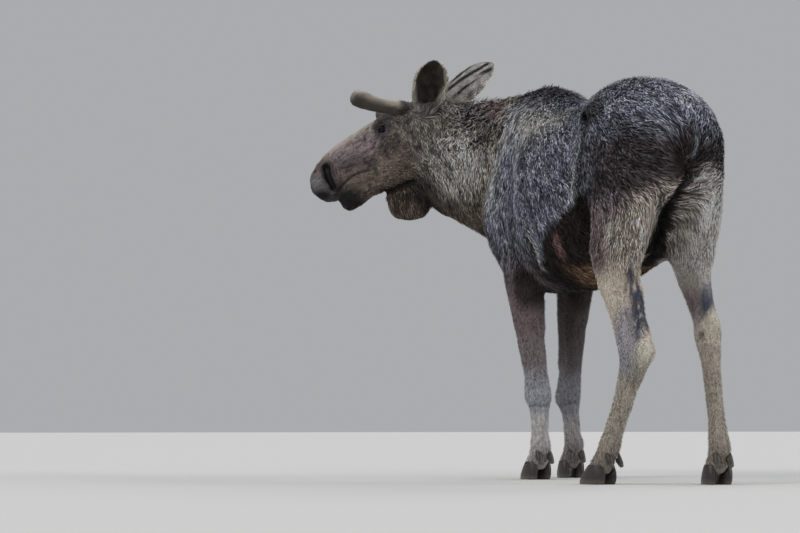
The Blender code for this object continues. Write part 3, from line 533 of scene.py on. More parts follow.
def markings(points, shares):
    """The colour of the hair's outer half at each point. shares says how far each part of the body has it."""
    flat = in_profile(points)
    crease, _ = from_line(flat, JAW_CREASE)
    trunk = mark_trunk(points, np.zeros((len(points), 3)))
    neck = mark_neck(points, trunk)
    edge = np.interp(points[:, 2], [1.3, 1.5, 1.64, 1.8], [-0.343, -0.353, -0.326, -0.389])
    trunk = paint(trunk, ramp(points[:, 1] - edge + 0.02 * noise(points, 0.03, 28), 0.015, -0.015), neck)
    parts = {
        "trunk": trunk,
        "neck": neck,
        "head": mark_head(points, neck),
        "bell": paint(0 * trunk + BROWN, 0.8 * ramp(flat[:, 0], 0.37, 0.3), BLACK),
        # painted shadow: the tail charcoal and dark on its left, with silver hair on its right
        "tail": paint(0 * trunk + CHARCOAL, 0.7 * ramp(points[:, 0], -0.285, -0.3), SILVER),
    }
    for leg in LEGS:
        parts[leg] = (mark_foreleg if leg.startswith("fore") else mark_hindleg)(points, leg, trunk)
    total = np.zeros((len(points), 3))
    for name in FLESH:
        total += shares[name][:, None] * parts[name]
    # painted shade: black along the crease between jaw and bell
    total = paint(total, 0.95 * ramp(crease, 0.021, 0.01), BLACK)
    # painted shadow: black along the haunch's front crease
    crease, _ = from_line(mirrored(points) - (0, 0.014, 0), HAUNCH_EDGE)
    total = paint(total, 0.55 * ramp(crease, 0.05, 0.02), BLACK)
    return paint(total, 0.97 * ramp(crease, 0.022, 0.014), BLACK * 0.7)


# ---------------------------------------------------------------- the skin's own forms

# On the side of the head: distance towards the nose, and upwards, from the poll.
NOSTRIL = [(0.636, -0.01), (0.642, -0.045), (0.65, -0.08), (0.65, -0.118)]
MOUTH = [(0.705, -0.166), (0.641, -0.139), (0.556, -0.115), (0.5, -0.119), (0.444, -0.143)]
JAW_CREASE = [(0.46, -0.256), (0.415, -0.272), (0.379, -0.279), (0.335, -0.289), (0.285, -0.3)]

# line, reach, height above the surface (below it where negative)
HEAD_FORMS = [
    (MOUTH, 0.007, -0.006),
    ([(0.7, -0.15), (0.63, -0.12), (0.55, -0.095)], 0.014, 0.003),
    ([(0.64, -0.165), (0.55, -0.142), (0.47, -0.155)], 0.013, 0.003),
    ([(0.475, -0.088), (0.52, -0.07), (0.575, -0.058)], 0.008, -0.004),
    ([(0.42, -0.15), (0.405, -0.175), (0.415, -0.2)], 0.008, -0.003),
    (JAW_CREASE, 0.014, -0.02),
    ([(0.215, 0.028), (0.27, 0.03), (0.325, 0.012)], 0.018, 0.006),
    ([(0.308, -0.022), (0.335, -0.04), (0.37, -0.062)], 0.01, -0.005),
    ([(0.18, -0.06), (0.27, -0.066), (0.36, -0.08), (0.45, -0.088)], 0.016, 0.005),
    ([(0.3, -0.115), (0.38, -0.13), (0.44, -0.15)], 0.026, -0.006),
    ([(0.352, -0.12), (0.35, -0.18), (0.34, -0.235)], 0.014, -0.004),
    ([(0.19, -0.13), (0.24, -0.18), (0.3, -0.2)], 0.055, 0.005),
    ([(0.6, 0.02), (0.625, 0.015), (0.655, 0.005)], 0.018, 0.004),
    ([(0.62, -0.215), (0.655, -0.22)], 0.022, 0.004),
    ([(0.44, 0.03), (0.52, 0.01), (0.6, -0.015)], 0.016, -0.003),
]
# On the trunk and thighs, on the animal's left.
HAUNCH_EDGE = [
    (-0.085, 0.61, 1.625), (-0.037, 0.688, 1.551), (-0.036, 0.679, 1.487), (-0.041, 0.641, 1.405),
    (-0.04, 0.604, 1.296), (-0.043, 0.619, 1.212), (-0.054, 0.64, 1.146), (-0.045, 0.7, 1.05),
]
HAUNCH_EDGE = np.array(HAUNCH_EDGE)
ELBOW_FOLD = np.array([(0.002, 0.165, 1.16), (-0.028, 0.215, 1.03), (-0.081, 0.197, 0.94)])
CLEFT = [(1.195, 1.4), (1.143, 1.28), (1.065, 1.19), (0.96, 1.08), (0.83, 0.95)]
CLEFT = np.array([(SPINE_X, y, z) for y, z in CLEFT])
SHANK_STREAKS = {
    True: [
        [
            (-0.074, 1.036, 0.934), (-0.087, 1.017, 0.881), (-0.09, 1.023, 0.805),
            (-0.094, 1.046, 0.729), (-0.093, 1.077, 0.641),
        ],
        [(-0.12, 1.011, 0.844), (-0.122, 1.042, 0.772), (-0.123, 1.066, 0.707), (-0.12, 1.098, 0.635)],
        [(-0.094, 1.046, 0.729), (-0.082, 1.09, 0.62), (-0.071, 1.105, 0.544)],
    ],
    False: [
        [(-0.478, 0.985, 0.99), (-0.489, 0.969, 0.872), (-0.452, 1.022, 0.781), (-0.436, 1.075, 0.7)],
        [(-0.449, 0.993, 0.9), (-0.437, 1.012, 0.77), (-0.429, 1.039, 0.703)],
        [(-0.47, 0.985, 1.0), (-0.455, 0.998, 0.87), (-0.445, 1.03, 0.74)],
    ],
}
BODY_FORMS = [
    (HAUNCH_EDGE + (0, 0.022, 0), 0.02, -0.038),
    (HAUNCH_EDGE - (0, 0.02, 0), 0.02, 0.009),
    (HAUNCH_EDGE[1:7] + (0, 0.09, 0), 0.04, 0.012),
    (ELBOW_FOLD, 0.016, 0.01),
    ([(0.0, 0.2, 1.12), (-0.05, 0.25, 0.98)], 0.03, -0.016),
    ([(-0.16, -0.12, 1.72), (-0.1, -0.22, 1.5), (-0.08, -0.36, 1.26)], 0.045, 0.008),
    ([(-0.12, 0.02, 1.66), (-0.06, -0.02, 1.45), (-0.02, 0.02, 1.2)], 0.04, -0.009),
    ([(-0.1, 0.66, 1.6), (-0.09, 0.74, 1.6)], 0.05, 0.008),
    ([(-0.05, 0.46, 1.52), (-0.05, 0.54, 1.42)], 0.075, -0.012),
    ([(-0.16, 1.06, 1.45), (-0.17, 1.12, 1.3), (-0.2, 1.12, 1.16)], 0.045, 0.006),
    ([(-0.06, 0.9, 1.2), (-0.1, 1.04, 1.08), (-0.12, 1.06, 1.0)], 0.035, -0.006),
    (CLEFT[:3], 0.024, -0.022),
    (CLEFT[2:], 0.032, -0.045),
]
# On a leg, from one place to another: the bone counted down from the top joint, and the direction
# from forward (0) to behind (180). Then reach and height.
LEG_FORMS = {
    "fore": [
        ((2.05, 0), (2.85, 0), 0.022, 0.004),
        ((1.1, 60), (1.75, 75), 0.022, 0.005),
        ((1.1, 110), (1.8, 100), 0.012, -0.004),
        ((1.7, 180), (2.0, 180), 0.016, 0.006),
        ((2.15, 120), (2.85, 120), 0.01, -0.004),
        ((2.1, 180), (2.9, 180), 0.014, 0.004),
        ((1.92, 60), (2.04, 60), 0.022, 0.004),
        ((2.13, 90), (2.14, 90), 0.1, -0.004),
    ],
    "hind": [
        ((1.3, 150), (1.9, 140), 0.014, -0.011),
        ((1.35, 35), (1.9, 60), 0.012, -0.006),
        ((1.25, 40), (1.85, 50), 0.02, 0.004),
        ((1.55, 180), (1.95, 180), 0.012, 0.004),
        ((2.15, 120), (2.85, 120), 0.01, -0.004),
        ((2.05, 0), (2.8, 0), 0.016, 0.003),
        ((1.95, 80), (2.1, 90), 0.02, 0.004),
        ((2.1, 180), (2.9, 180), 0.013, 0.004),
    ],
}


def bone_places(points, leg):
    """Bones counted down from the leg's top joint, and the direction round it, 0 forward to 180 behind."""
    joints = LEG_JOINTS[leg]
    facing = unit(np.array(TOES_POINT[leg], float))
    _, place = from_line(points, joints)
    lengths = np.linalg.norm(np.diff(joints, axis=0), axis=1)
    ends = np.concatenate([[0], np.cumsum(lengths)]) / lengths.sum()
    bone = np.interp(place, ends, np.arange(len(ends)))
    centre = np.stack([np.interp(bone, range(len(joints)), joints[:, k]) for k in range(3)], axis=1)
    away = points - centre
    sideways = np.cross(UPWARD, facing)
    return bone, np.degrees(np.arctan2(np.abs(away @ sideways), away @ facing)), centre


def fused_flesh():
    """All the nodes of flesh as one mesh, grown a little so that the thin cuts close."""
    points, triangles, count = [], [], 0
    for name in FLESH:
        node = Surface(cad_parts[name])
        points.append(node.points + node.normals() * GROWN)
        triangles.append(node.triangles + count)
        count += len(node.points)
    solid = in_scene("flesh", mesh_of("flesh", np.concatenate(points), np.concatenate(triangles)))
    remesh = solid.modifiers.new("remesh", "REMESH")
    remesh.mode, remesh.voxel_size = "VOXEL", SKIN_VOXEL
    graph = bpy.context.evaluated_depsgraph_get()
    mesh = bpy.data.meshes.new_from_object(solid.evaluated_get(graph))
    bpy.data.objects.remove(solid)
    return mesh


def cut_finer(mesh, wanted):
    """Halves the faces whose middle is wanted."""
    work = bmesh.new()
    work.from_mesh(mesh)
    middles = np.array([face.calc_center_median() for face in work.faces])
    chosen = [face for face, want in zip(work.faces, wanted(middles)) if want]
    edges = list({edge for face in chosen for edge in face.edges})
    bmesh.ops.subdivide_edges(work, edges=edges, cuts=1, use_grid_fill=True)
    bmesh.ops.triangulate(work, faces=[face for face in work.faces if len(face.verts) > 4])
    work.to_mesh(mesh)
    work.free()


def is_head(points):
    a, b, _ = in_head(points)
    return (a > 0.02) & (a < 0.8) & (b > -0.32)


def is_feature(points):
    """Round the eyes, and the muzzle with the nostrils and mouth."""
    a, b, _ = in_head(points)
    mouth = (a > 0.42) & (b < -0.09) & (b > -0.17)
    return ((a > 0.56) & (b > -0.26)) | (from_eyes(points) < 0.055) | mouth


def is_lid(points):
    return from_eyes(points) < 0.038


def shares_of(points):
    """How far each part of the body owns each point, from the distances to its solid."""
    distances = []
    for name in FLESH:
        node = Surface(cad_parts[name])
        tree = BVHTree.FromPolygons(node.points.tolist(), node.triangles.tolist())
        distances.append([tree.find_nearest(p, 9.0)[3] for p in points.tolist()])
    distances = np.array(distances)
    weight = np.clip(1 - (distances - distances.min(axis=0)) / BLEND, 0, 1) ** 2
    return dict(zip(FLESH, weight / weight.sum(axis=0)))


def coat_depth(points, shares):
    """How far the skin lies inside the coat's outline."""
    folded = mirrored(points)
    a, b, _ = in_head(points)
    trunk = 0.013 + 0.01 * ramp(folded[:, 2], 1.6, 1.8)
    neck = 0.013 + 0.016 * ramp(points[:, 2] + 0.2 * np.abs(points[:, 0] - SPINE_X), 1.66, 1.82)
    head = 0.0012 + 0.01 * ramp(a, 0.22, 0.02) - 0.0035 * ramp(b, 0.03, 0.07) * ramp(a, 0.2, 0.3)
    head = head + 0.004 * ramp(b, -0.2, -0.28) * ramp(a, 0.5, 0.35)
    leg = 0.0045 + 0.008 * ramp(points[:, 2], 0.8, 1.1)
    parts = {"trunk": trunk, "neck": neck, "head": head, "bell": 0.007, "tail": 0.008}
    return sum(shares[name] * parts.get(name, leg) for name in FLESH)


def eye_opening(points, side):
    """The eye's own axes, each point's place along them, and 1 on the edge between the lids."""
    outward = unit(HEAD_LEFT * side + 0.1 * TO_NOSE + 0.05 * HEAD_UP)
    ahead = unit(TO_NOSE - outward * (TO_NOSE @ outward))
    up = np.cross(ahead, outward)
    up = up * np.sign(up @ HEAD_UP)
    away = points - EYES[side]
    s, t, w = away @ ahead, away @ up, away @ outward
    tilted = t + LID_SLANT * s
    tall = np.where(tilted > 0, 0.0068, 0.0052)
    ring = np.sqrt((s / 0.0185) ** 2 + (tilted / tall) ** 2)
    return (ahead, up, outward), (s, tilted, w), ring


def lids(surface):
    """Draws the skin in behind each eye and folds it over the ball as two half-closed lids."""
    for side, centre in EYES.items():
        (ahead, up, outward), (s, tilted, w), ring = eye_opening(surface.points, side)
        close = (distance_to(surface.points, centre) < 0.045) & (w > -0.004)
        rim = close & (ring > 0.8) & (ring < 1.25)
        scale = np.where(rim, 1.0 / np.maximum(ring, 1e-6), 1.0)
        s, tilted = s * scale, tilted * scale
        t = tilted - LID_SLANT * s
        flat = s**2 + t**2
        ball = np.sqrt(np.maximum(EYE_RADIUS**2 - flat, 0))
        lid = np.sqrt(np.maximum((EYE_RADIUS + LID) ** 2 - flat, 0))
        crease = 0.0018 * np.exp(-(((ring - 1.75) / 0.22) ** 2))
        fold = ramp(ring, 3.8, 2.6)
        over = np.maximum(w, lid * fold + w * (1 - fold)) - crease
        depth = np.where(ring < 0.8, ball - 0.007, over)
        lifted = centre + s[:, None] * ahead + t[:, None] * up + depth[:, None] * outward
        surface.points[close] = lifted[close]


def nostrils(surface, normals):
    """Two long commas, deep at their upper end, with rolled rims."""
    distance, place = from_line(in_profile(surface.points), NOSTRIL)
    on_side = ramp(np.abs(in_head(surface.points)[2]), 0.03, 0.05)
    width = 0.021 - 0.01 * place
    hole = ramp(distance / width, 1.25, 0.25) * on_side
    rim = np.exp(-(((distance / width - 1.6) / 0.5) ** 2)) * on_side
    surface.points += normals * (0.004 * rim - (0.02 - 0.008 * place) * hole)[:, None]


def body_lift(points, shares):
    """The height of the forms of muscle, bone and fold on the trunk, head and legs."""
    folded = mirrored(points)
    body = shares["trunk"] + shares["hindleg_left"] + shares["hindleg_right"] + shares["neck"]
    body = body + shares["foreleg_left"] + shares["foreleg_right"]
    lift = np.zeros(len(points))
    for line, reach, height in BODY_FORMS:
        lift += body * height * near_line(folded, line, reach)
    ribs = np.sin(2 * np.pi * (folded[:, 1] + 0.25 * (folded[:, 2] - 1.3)) / 0.062)
    lift += 0.0022 * ribs * shares["trunk"] * blob(folded, (-0.02, 0.36, 1.32), (0.12, 0.22, 0.16))
    a, b, _ = in_head(points)
    flat = in_profile(points)
    face = shares["head"] + 0.6 * shares["bell"]
    for line, reach, height in HEAD_FORMS:
        lift += face * height * near_line(flat, line, reach)
    wrinkles = np.sin(2 * np.pi * (a + 0.35 * b) / 0.017)
    wrinkles = wrinkles * near_line(flat, [(0.6, -0.015), (0.6, -0.1)], 0.03)
    lift += 0.0009 * face * wrinkles
    lift += 0.0012 * face * noise(points, 0.02, 3) + 0.003 * (1 - face) * noise(points, 0.055, 4)
    for leg in LEGS:
        bone, turn, centre = bone_places(points, leg)
        radius = np.linalg.norm(points - centre, axis=1)
        for (start, first), (end, last), reach, height in LEG_FORMS[leg[:4]]:
            middle = first + (last - first) * (bone - start) / (end - start)
            across = np.radians(turn - middle) * radius / reach
            ends = ramp(bone, start - 0.06, start + 0.06) * ramp(bone, end + 0.06, end - 0.06)
            lift += shares[leg] * height * np.exp(-(across**2)) * ends
    return lift


def build_skin():
    """The one skin over all the flesh, and what the coat needs to know of it."""
    mesh = fused_flesh()
    cut_finer(mesh, is_head)
    cut_finer(mesh, is_feature)
    cut_finer(mesh, is_lid)
    skin = Surface(new_object("skin", mesh, fur_material("skin_fur"), "coat", *FLESH))
    skin.relax(6)
    shares = shares_of(skin.points)
    depth = skin.smoothed(coat_depth(skin.points, shares), 4)
    skin.points -= skin.normals() * depth[:, None]
    skin.points[:, 2] = np.maximum(skin.points[:, 2], SOLE)
    normals = skin.smoothed(skin.normals(), 2)
    skin.points += normals * body_lift(skin.points, shares)[:, None]
    nostrils(skin, skin.smoothed(skin.normals(), 3))
    lids(skin)
    skin.write()
    return skin, shares, depth


# ---------------------------------------------------------------- the lie of the coat

EARS = {
    # side: root in the head's measures, shift of the base, tip from the root, and where the cup opens
    "left": (
        (0.05, -0.02, 0.08),
        (0.0, -0.02),
        UPWARD * 0.218 + HEAD_LEFT * 0.07 - LEVEL * 0.072,
        (0.22, 1.0, -0.1),
    ),
    "right": (
        (0.02, -0.005, -0.078),
        (0.02, 0.0),
        UPWARD * 0.2 - HEAD_LEFT * 0.05 - LEVEL * 0.268,
        -HEAD_LEFT - UPWARD * 0.45,
    ),
}


def ear_root(label):
    """Where the ear leaves the head."""
    along, up, left = EARS[label][0]
    return POLL + TO_NOSE * along + HEAD_UP * up + HEAD_LEFT * left


def lie_of_coat(skin, shares):
    """The direction in which the hair lies at each point of the skin."""
    points, normals = skin.points, skin.normals()
    folded = mirrored(points)
    side = np.sign(points[:, 0] - SPINE_X)
    a, b, _ = in_head(points)
    ones = np.ones(len(points))
    shoulder = ramp(folded[:, 1], 0.16, -0.05)
    haunch = ramp(folded[:, 1], 0.62, 0.8)
    down = 0.8 + 0.7 * shoulder - 0.1 * haunch
    z = folded[:, 2]
    on_thigh = np.where(side < 0, ramp(z, 1.2, 1.36), 1)
    inward = 0.25 * ramp(z, 1.55, 1.75) - 0.55 * haunch * ramp(z, 1.66, 1.5) * on_thigh
    trunk = np.stack([side * inward, ones, -down], axis=1)
    neck = np.stack([-0.16 * ones, 0.26 * ones, -1.0 * ones], axis=1)
    drop = 0.3 * ramp(b, 0.02, -0.12) + 1.8 * ramp(a, 0.3, 0.14)
    head = -TO_NOSE - drop[:, None] * UPWARD
    for centre in EYES.values():
        near = ramp(distance_to(points, centre), 0.07, 0.02)[:, None]
        head = head + near * 0.8 * unit(points - centre)
    for label, (_, _, reach, _) in EARS.items():
        near = ramp(distance_to(points, ear_root(label)), 0.09, 0.055)[:, None]
        head = head * (1 - near) + near * unit(reach)
        neck = neck * (1 - near) + near * unit(reach)
    falling = np.array((0.0, 0.06, -1.0)) * ones[:, None]
    parts = {"trunk": trunk, "neck": neck, "head": head}
    flow = sum(shares[name][:, None] * unit(parts.get(name, falling)) for name in FLESH)
    return flattened(skin.smoothed(flattened(flow, normals), 6), normals)


def coat_measures(points, shares):
    """Length, width, curl, spread of direction and cover of the tufts at each point."""
    folded = mirrored(points)
    a, b, _ = in_head(points)
    z = points[:, 2]
    mane = ramp(z + 0.2 * np.abs(points[:, 0] - SPINE_X), 1.58, 1.7) * ramp(folded[:, 1], 0.05, -0.2)
    ruff = blob(in_profile(points), (0.25, -0.36), (0.16, 0.14))
    trunk = 0.054 + 0.01 * mane
    neck = 0.044 + 0.02 * mane + 0.022 * ruff
    head = 0.0085 + 0.014 * ramp(a, 0.5, 0.25) + 0.018 * ramp(a, 0.2, 0.05)
    head = head + 0.014 * ramp(b, -0.2, -0.26)
    head = head + 0.006 * ramp(b, -0.18, -0.22) * ramp(a, 0.45, 0.6)
    leg = 0.0105 + 0.038 * ramp(z, 0.8, 1.1) + 0.006 * ramp(z, 0.16, 0.11)
    parts = {"trunk": trunk, "neck": neck, "head": head, "bell": 0.056, "tail": 0.07}
    length = sum(shares[name] * parts.get(name, leg) for name in FLESH)
    width = np.interp(length, [0.007, 0.016, 0.03, 0.05, 0.065], [0.0021, 0.0026, 0.0032, 0.0038, 0.0044])
    woolly = np.clip(mane * (shares["neck"] + shares["trunk"]), 0, 1)
    curl = 0.035 + 0.33 * woolly + 0.06 * shares["bell"]
    spread = np.radians(6 + 6 * ramp(length, 0.015, 0.045) + 32 * woolly)
    cover = np.interp(length, [0.007, 0.016, 0.03, 0.05], [0.5, 0.75, 1.5, 2.6])
    flat_lying = sum(shares[name] for name in LEGS) * ramp(length, 0.032, 0.018)
    cover, width = cover * (1 - 0.25 * flat_lying), width * (1 + 0.2 * flat_lying)
    crease, _ = from_line(in_profile(points), JAW_CREASE)
    length = length * (1 - 0.5 * ramp(crease, 0.045, 0.02) * (shares["head"] + shares["bell"]))
    crease, _ = from_line(folded, HAUNCH_EDGE)
    length = length * (1 - 0.6 * ramp(crease, 0.055, 0.03) * shares["trunk"])
    for label in EARS:
        length = length + 0.02 * ramp(distance_to(points, ear_root(label)), 0.08, 0.05)
    return length, 1.12 * width * (1 + 0.4 * woolly), curl, spread, cover


def sample(surface, density):
    """Corners and their shares, of points strewn over a surface to a density at each of its points."""
    a, b, c = (surface.points[ends] for ends in surface.triangles.T)
    area = np.linalg.norm(np.cross(b - a, c - a), axis=1) / 2
    wanted = np.cumsum(area * density[surface.triangles].mean(axis=1))
    count = int(wanted[-1])
    at = (np.arange(count) + RNG.random(count)) * wanted[-1] / count
    chosen = np.minimum(np.searchsorted(wanted, at), len(area) - 1)
    u, v = RNG.random(count), RNG.random(count)
    over = u + v > 1
    u[over], v[over] = 1 - u[over], 1 - v[over]
    return surface.triangles[chosen], np.stack([1 - u - v, u, v], axis=1)


def at_roots(values, corners, mix):
    """Values held at a surface's points, read at the roots of its tufts."""
    picked = values[corners]
    return np.einsum("ijk,ij->ik", picked, mix) if picked.ndim == 3 else (picked * mix).sum(axis=1)


def turned(vectors, axes, angles):
    """Vectors turned about unit axes that they are square to."""
    return vectors * np.cos(angles)[:, None] + np.cross(axes, vectors) * np.sin(angles)[:, None]


def tuft_layout(rings):
    """Triangles of one closed three-sided tuft, and each corner's place on its patch of the bake map."""
    faces, places = [], []
    for ring in range(rings):
        low, high = ring / rings, (ring + 1) / rings
        for k in range(3):
            a, b = 3 * ring + k, 3 * ring + (k + 1) % 3
            left, right = k / 3, (k + 1) / 3
            if ring == rings - 1:
                faces.append((a, b, 3 * rings))
                places += [(left, low), (right, low), ((left + right) / 2, 1)]
            else:
                faces += [(a, b, b + 3), (a, b + 3, a + 3)]
                places += [(left, low), (right, low), (right, high)]
                places += [(left, low), (right, high), (left, high)]
    faces.append((2, 1, 0))
    places += [(0.9, 0), (0.5, 0), (0.1, 0)]
    return np.array(faces), np.array(places)


def tufts(name, roots, spots, tree=None, curly=False, slot="coat"):
    """One joined mesh of closed, tapered tufts. roots holds an array for each thing that a tuft needs."""
    steps = [0, 0.36, 0.7, 1] if curly else [0, 0.48, 1]
    rings = len(steps) - 1
    start, normal, flow = roots["at"], roots["normal"], roots["flow"]
    length, width, lift = roots["length"], roots["width"], roots["lift"]
    bend, wave = roots["bend"], roots["wave"]
    across = np.cross(flow, normal)
    shape = np.interp(steps, [0, 0.35, 0.7, 1], [0.75, 1.0, 0.72, 0])
    rows, tints = [], []
    for t, wide in zip(steps, shape):
        sway = bend * length * (np.sin(np.pi * 1.4 * t + wave) - np.sin(wave))
        centre = start + flow * (length * t * (1 - 0.25 * np.abs(bend)))[:, None] + across * sway[:, None]
        high = lift * (1.7 * t - 0.7 * t * t) - 0.0015 * (t == 0)
        up = normal
        if tree and t > 0:
            found = [tree.find_nearest(p)[:2] for p in centre.tolist()]
            centre = np.array([hit[0] for hit in found])
            up = unit(np.array([hit[1] for hit in found]) + 0.5 * normal)
        centre = centre + up * high[:, None]
        if t == 1:
            rows.append(centre[:, None])
        else:
            half = (width * wide / 2)[:, None]
            corners = [centre - across * half, centre + up * half * 0.55, centre + across * half]
            rows.append(np.stack(corners, axis=1))
        shade = paint(roots["root"], ramp(np.full(len(start), t), 0.0, 0.52), roots["tip"])
        tints.append(np.repeat(shade[:, None], rows[-1].shape[1], axis=1))
    points = np.concatenate(rows, axis=1)
    tints = np.concatenate(tints, axis=1)
    faces, places = tuft_layout(rings)
    count, each = points.shape[:2]
    triangles = (faces[None] + (np.arange(count) * each)[:, None, None]).reshape(-1, 3)
    patches = spots[:, None, :] + 0.003 * (places[None] - 0.5)
    mesh = mesh_of(name, points.reshape(-1, 3), triangles, tints.reshape(-1, 3), patches.reshape(-1, 2))
    return new_object(name, mesh, COAT, slot)


def unwrapped(points, start, end):
    """Places on a map: the turn round the line from start to end, and the way along it."""
    start, end = np.array(start, float), np.array(end, float)
    axis = unit(end - start)
    first = unit(np.cross(axis, (0.31, 0.17, 0.93)))
    second = np.cross(axis, first)
    away = points - (start + end) / 2
    turn = np.arctan2(away @ second, away @ first) / (2 * np.pi) + 0.5
    way = away @ axis
    way = (way - way.min()) / max(np.ptp(way), 1e-6)
    return 0.01 + 0.98 * np.stack([turn, way], axis=1)


BELL_TOP = POLL + TO_NOSE * 0.36 - HEAD_UP * 0.25
AXES = {
    "trunk": ((SPINE_X, -0.4, 1.35), (SPINE_X, 1.2, 1.35)),
    "neck": ((SPINE_X, -0.3, 1.45), POLL - (0, 0, 0.1)),
    "head": (POLL - (0, 0, 0.12), POLL + TO_NOSE * 0.7 - HEAD_UP * 0.1),
    "bell": (BELL_TOP, BELL_TOP - UPWARD * 0.2),
    "tail": ((SPINE_X, 1.15, 1.5), (SPINE_X, 1.15, 1.3)),
    **{leg: (joints[1], joints[3]) for leg, joints in LEG_JOINTS.items()},
}
MOST_TUFTS = {"short": 19000, "long": 19000, "curly": 12000}  # in one piece, to stay under 200,000 triangles


def grizzled(tip, root_share, points, contrast, streaks=None):
    """Root and tip colours of each tuft: dark roots, and tips that run from dark to bright in clumps."""
    count = len(tip)
    clump = noise(points, 0.018, 8) if streaks is None else streaks
    level = contrast * (1.9 * clump + 0.5 * noise(points, 0.035, 9) + 0.5 * RNG.standard_normal(count) - 0.15)
    shade = tip * np.exp(np.clip(level, -1.9, np.minimum(1.3 * contrast, 1.1)))[:, None]
    shade = shade * (1 + 0.05 * RNG.standard_normal((count, 3)))
    return ROOT * (1 - root_share[:, None]) + shade * (0.55 * root_share)[:, None], np.clip(shade, 0.002, 0.9)


def coat_colours(at, way, sizes, curl, own):
    """Root and tip colours of the body's tufts, in streaks along the lie and in clumps where they curl."""
    tip = markings(at, own)
    # hairs side by side differ, and those in line match
    grain = 0.0062 + 0.0012 * ramp(sizes, 0.012, 0.04)
    steps = (-0.02, -0.01, 0.0, 0.01, 0.02)
    streaks = sum(noise((at + way * step) / grain[:, None], 1.0, 8) for step in steps)
    woolly = ramp(curl, 0.15, 0.35)
    streaks = 0.46 * streaks + 1.1 * woolly * noise(at, 0.022, 38)
    contrast = 1.1 - 0.08 * ramp(sizes, 0.015, 0.04) - 0.22 * own["neck"] * ramp(curl, 0.3, 0.1)
    legs = sum(own[leg] for leg in LEGS)
    contrast -= 0.45 * own["head"] * ramp(sizes, 0.014, 0.026) + 0.65 * legs * ramp(sizes, 0.032, 0.018)
    contrast -= 0.4 * own["head"] * ramp(sizes, 0.014, 0.009)
    brightness = tip.mean(axis=1)
    contrast *= 1 - 0.5 * ramp(brightness, 0.45, 0.75)
    contrast += 0.45 * woolly
    pale_root = 0.15 + 0.6 * ramp(sizes, 0.03, 0.01) + 0.35 * ramp(brightness, 0.6, 0.85)
    dark, light = grizzled(tip, pale_root, at, contrast, streaks)
    return dark, light, light.mean(axis=1) / brightness


def coat_roots(skin, shares, depth):
    """What each tuft of the body needs, and how far each part of the body owns its root."""
    flow = lie_of_coat(skin, shares)
    length, width, curl, spread, cover = coat_measures(skin.points, shares)
    inside, _ = from_line(in_profile(skin.points), NOSTRIL)
    haired = ramp(from_eyes(skin.points), 0.023, 0.031)
    haired *= np.where(shares["head"] > 0.5, ramp(inside, 0.014, 0.026), 1)
    haired *= np.where(skin.points[:, 2] < HOOF_TOP, 0.0, 1.0)
    corners, mix = sample(skin, cover * haired / (length * width * FILL))
    per_tuft = (skin.points, skin.smoothed(skin.normals(), 1), flow, length, width, curl, spread, depth)
    at, normal, way, length, width, curl, spread, depth = (at_roots(v, corners, mix) for v in per_tuft)
    normal = unit(normal)
    way = flattened(way, normal)
    count = len(at)
    turn = 0.8 * RNG.standard_normal(count) + 1.3 * noise(at, 0.08, 11)
    turn = spread * (turn + 0.4 * noise(at, 0.022, 12))
    sizes = length * RNG.uniform(0.65, 1.25, count)
    own = {name: at_roots(values, corners, mix) for name, values in shares.items()}
    dark, light, bright = coat_colours(at, way, sizes, curl, own)
    thinner = np.interp(bright, [0.4, 1.0, 2.0], [1.2, 1.0, 0.75])
    higher = np.interp(bright, [0.4, 1.0, 2.0], [0.8, 1.0, 1.15])
    roots = {
        "at": at,
        "normal": normal,
        "flow": turned(way, normal, turn),
        "length": sizes,
        "width": width * RNG.uniform(0.7, 1.25, count) * thinner,
        "lift": depth * RNG.uniform(0.7, 1.35, count) * higher,
        "bend": curl * RNG.uniform(-1.5, 1.5, count),
        "wave": RNG.uniform(0, 2 * np.pi, count),
        "root": dark,
        "tip": light,
    }
    return roots, own, curl


def grow_coat(skin, shares, depth):
    """Strews tufts over the skin, long on trunk and neck and tiny on the face, and joins them in pieces."""
    roots, own, curl = coat_roots(skin, shares, depth)
    at = roots["at"]
    tree = BVHTree.FromPolygons(skin.points.tolist(), skin.triangles.tolist())
    owner = np.array(list(own.values())).argmax(axis=0)
    kind = np.where(roots["length"] < SHORT_HAIR, 0, np.where(curl > CURLY, 2, 1))
    for index, name in enumerate(own):
        axis = np.array(AXES[name][1]) - np.array(AXES[name][0])
        for which, (label, most) in enumerate(MOST_TUFTS.items()):
            mine = np.flatnonzero((owner == index) & (kind == which))
            if len(mine) == 0:
                continue
            mine = mine[np.argsort(at[mine] @ axis, kind="stable")]
            for part, group in enumerate(np.array_split(mine, math.ceil(len(mine) / most))):
                group = np.sort(group)
                chosen = {key: values[group] for key, values in roots.items()}
                spots = unwrapped(at[group], *AXES[name])
                tufts(f"coat_{name}_{label}_{part}", chosen, spots, tree if which else None, which == 2)


def short_tufts(name, place, colours, spots, spread, length, width, lift, bend, slot):
    """Tufts on an ear or antler, from roots, normals and lie. Beside length stands how far chance may
    lengthen it, and beside lift how far chance may lower it.
    """
    at, normal, lie = place
    count = len(at)
    roots = {
        "at": at,
        "normal": normal,
        "flow": turned(lie, normal, spread * RNG.standard_normal(count)),
        "length": length[0] * RNG.uniform(0.7, length[1], count),
        "width": width * RNG.uniform(0.7, 1.3, count),
        "lift": lift[0] * RNG.uniform(lift[1], 1, count),
        "bend": bend * RNG.uniform(-1, 1, count),
        "wave": RNG.uniform(0, 2 * np.pi, count),
        "root": colours[0],
        "tip": colours[1],
    }
    tufts(name, roots, spots, slot=slot)


# ---------------------------------------------------------------- materials


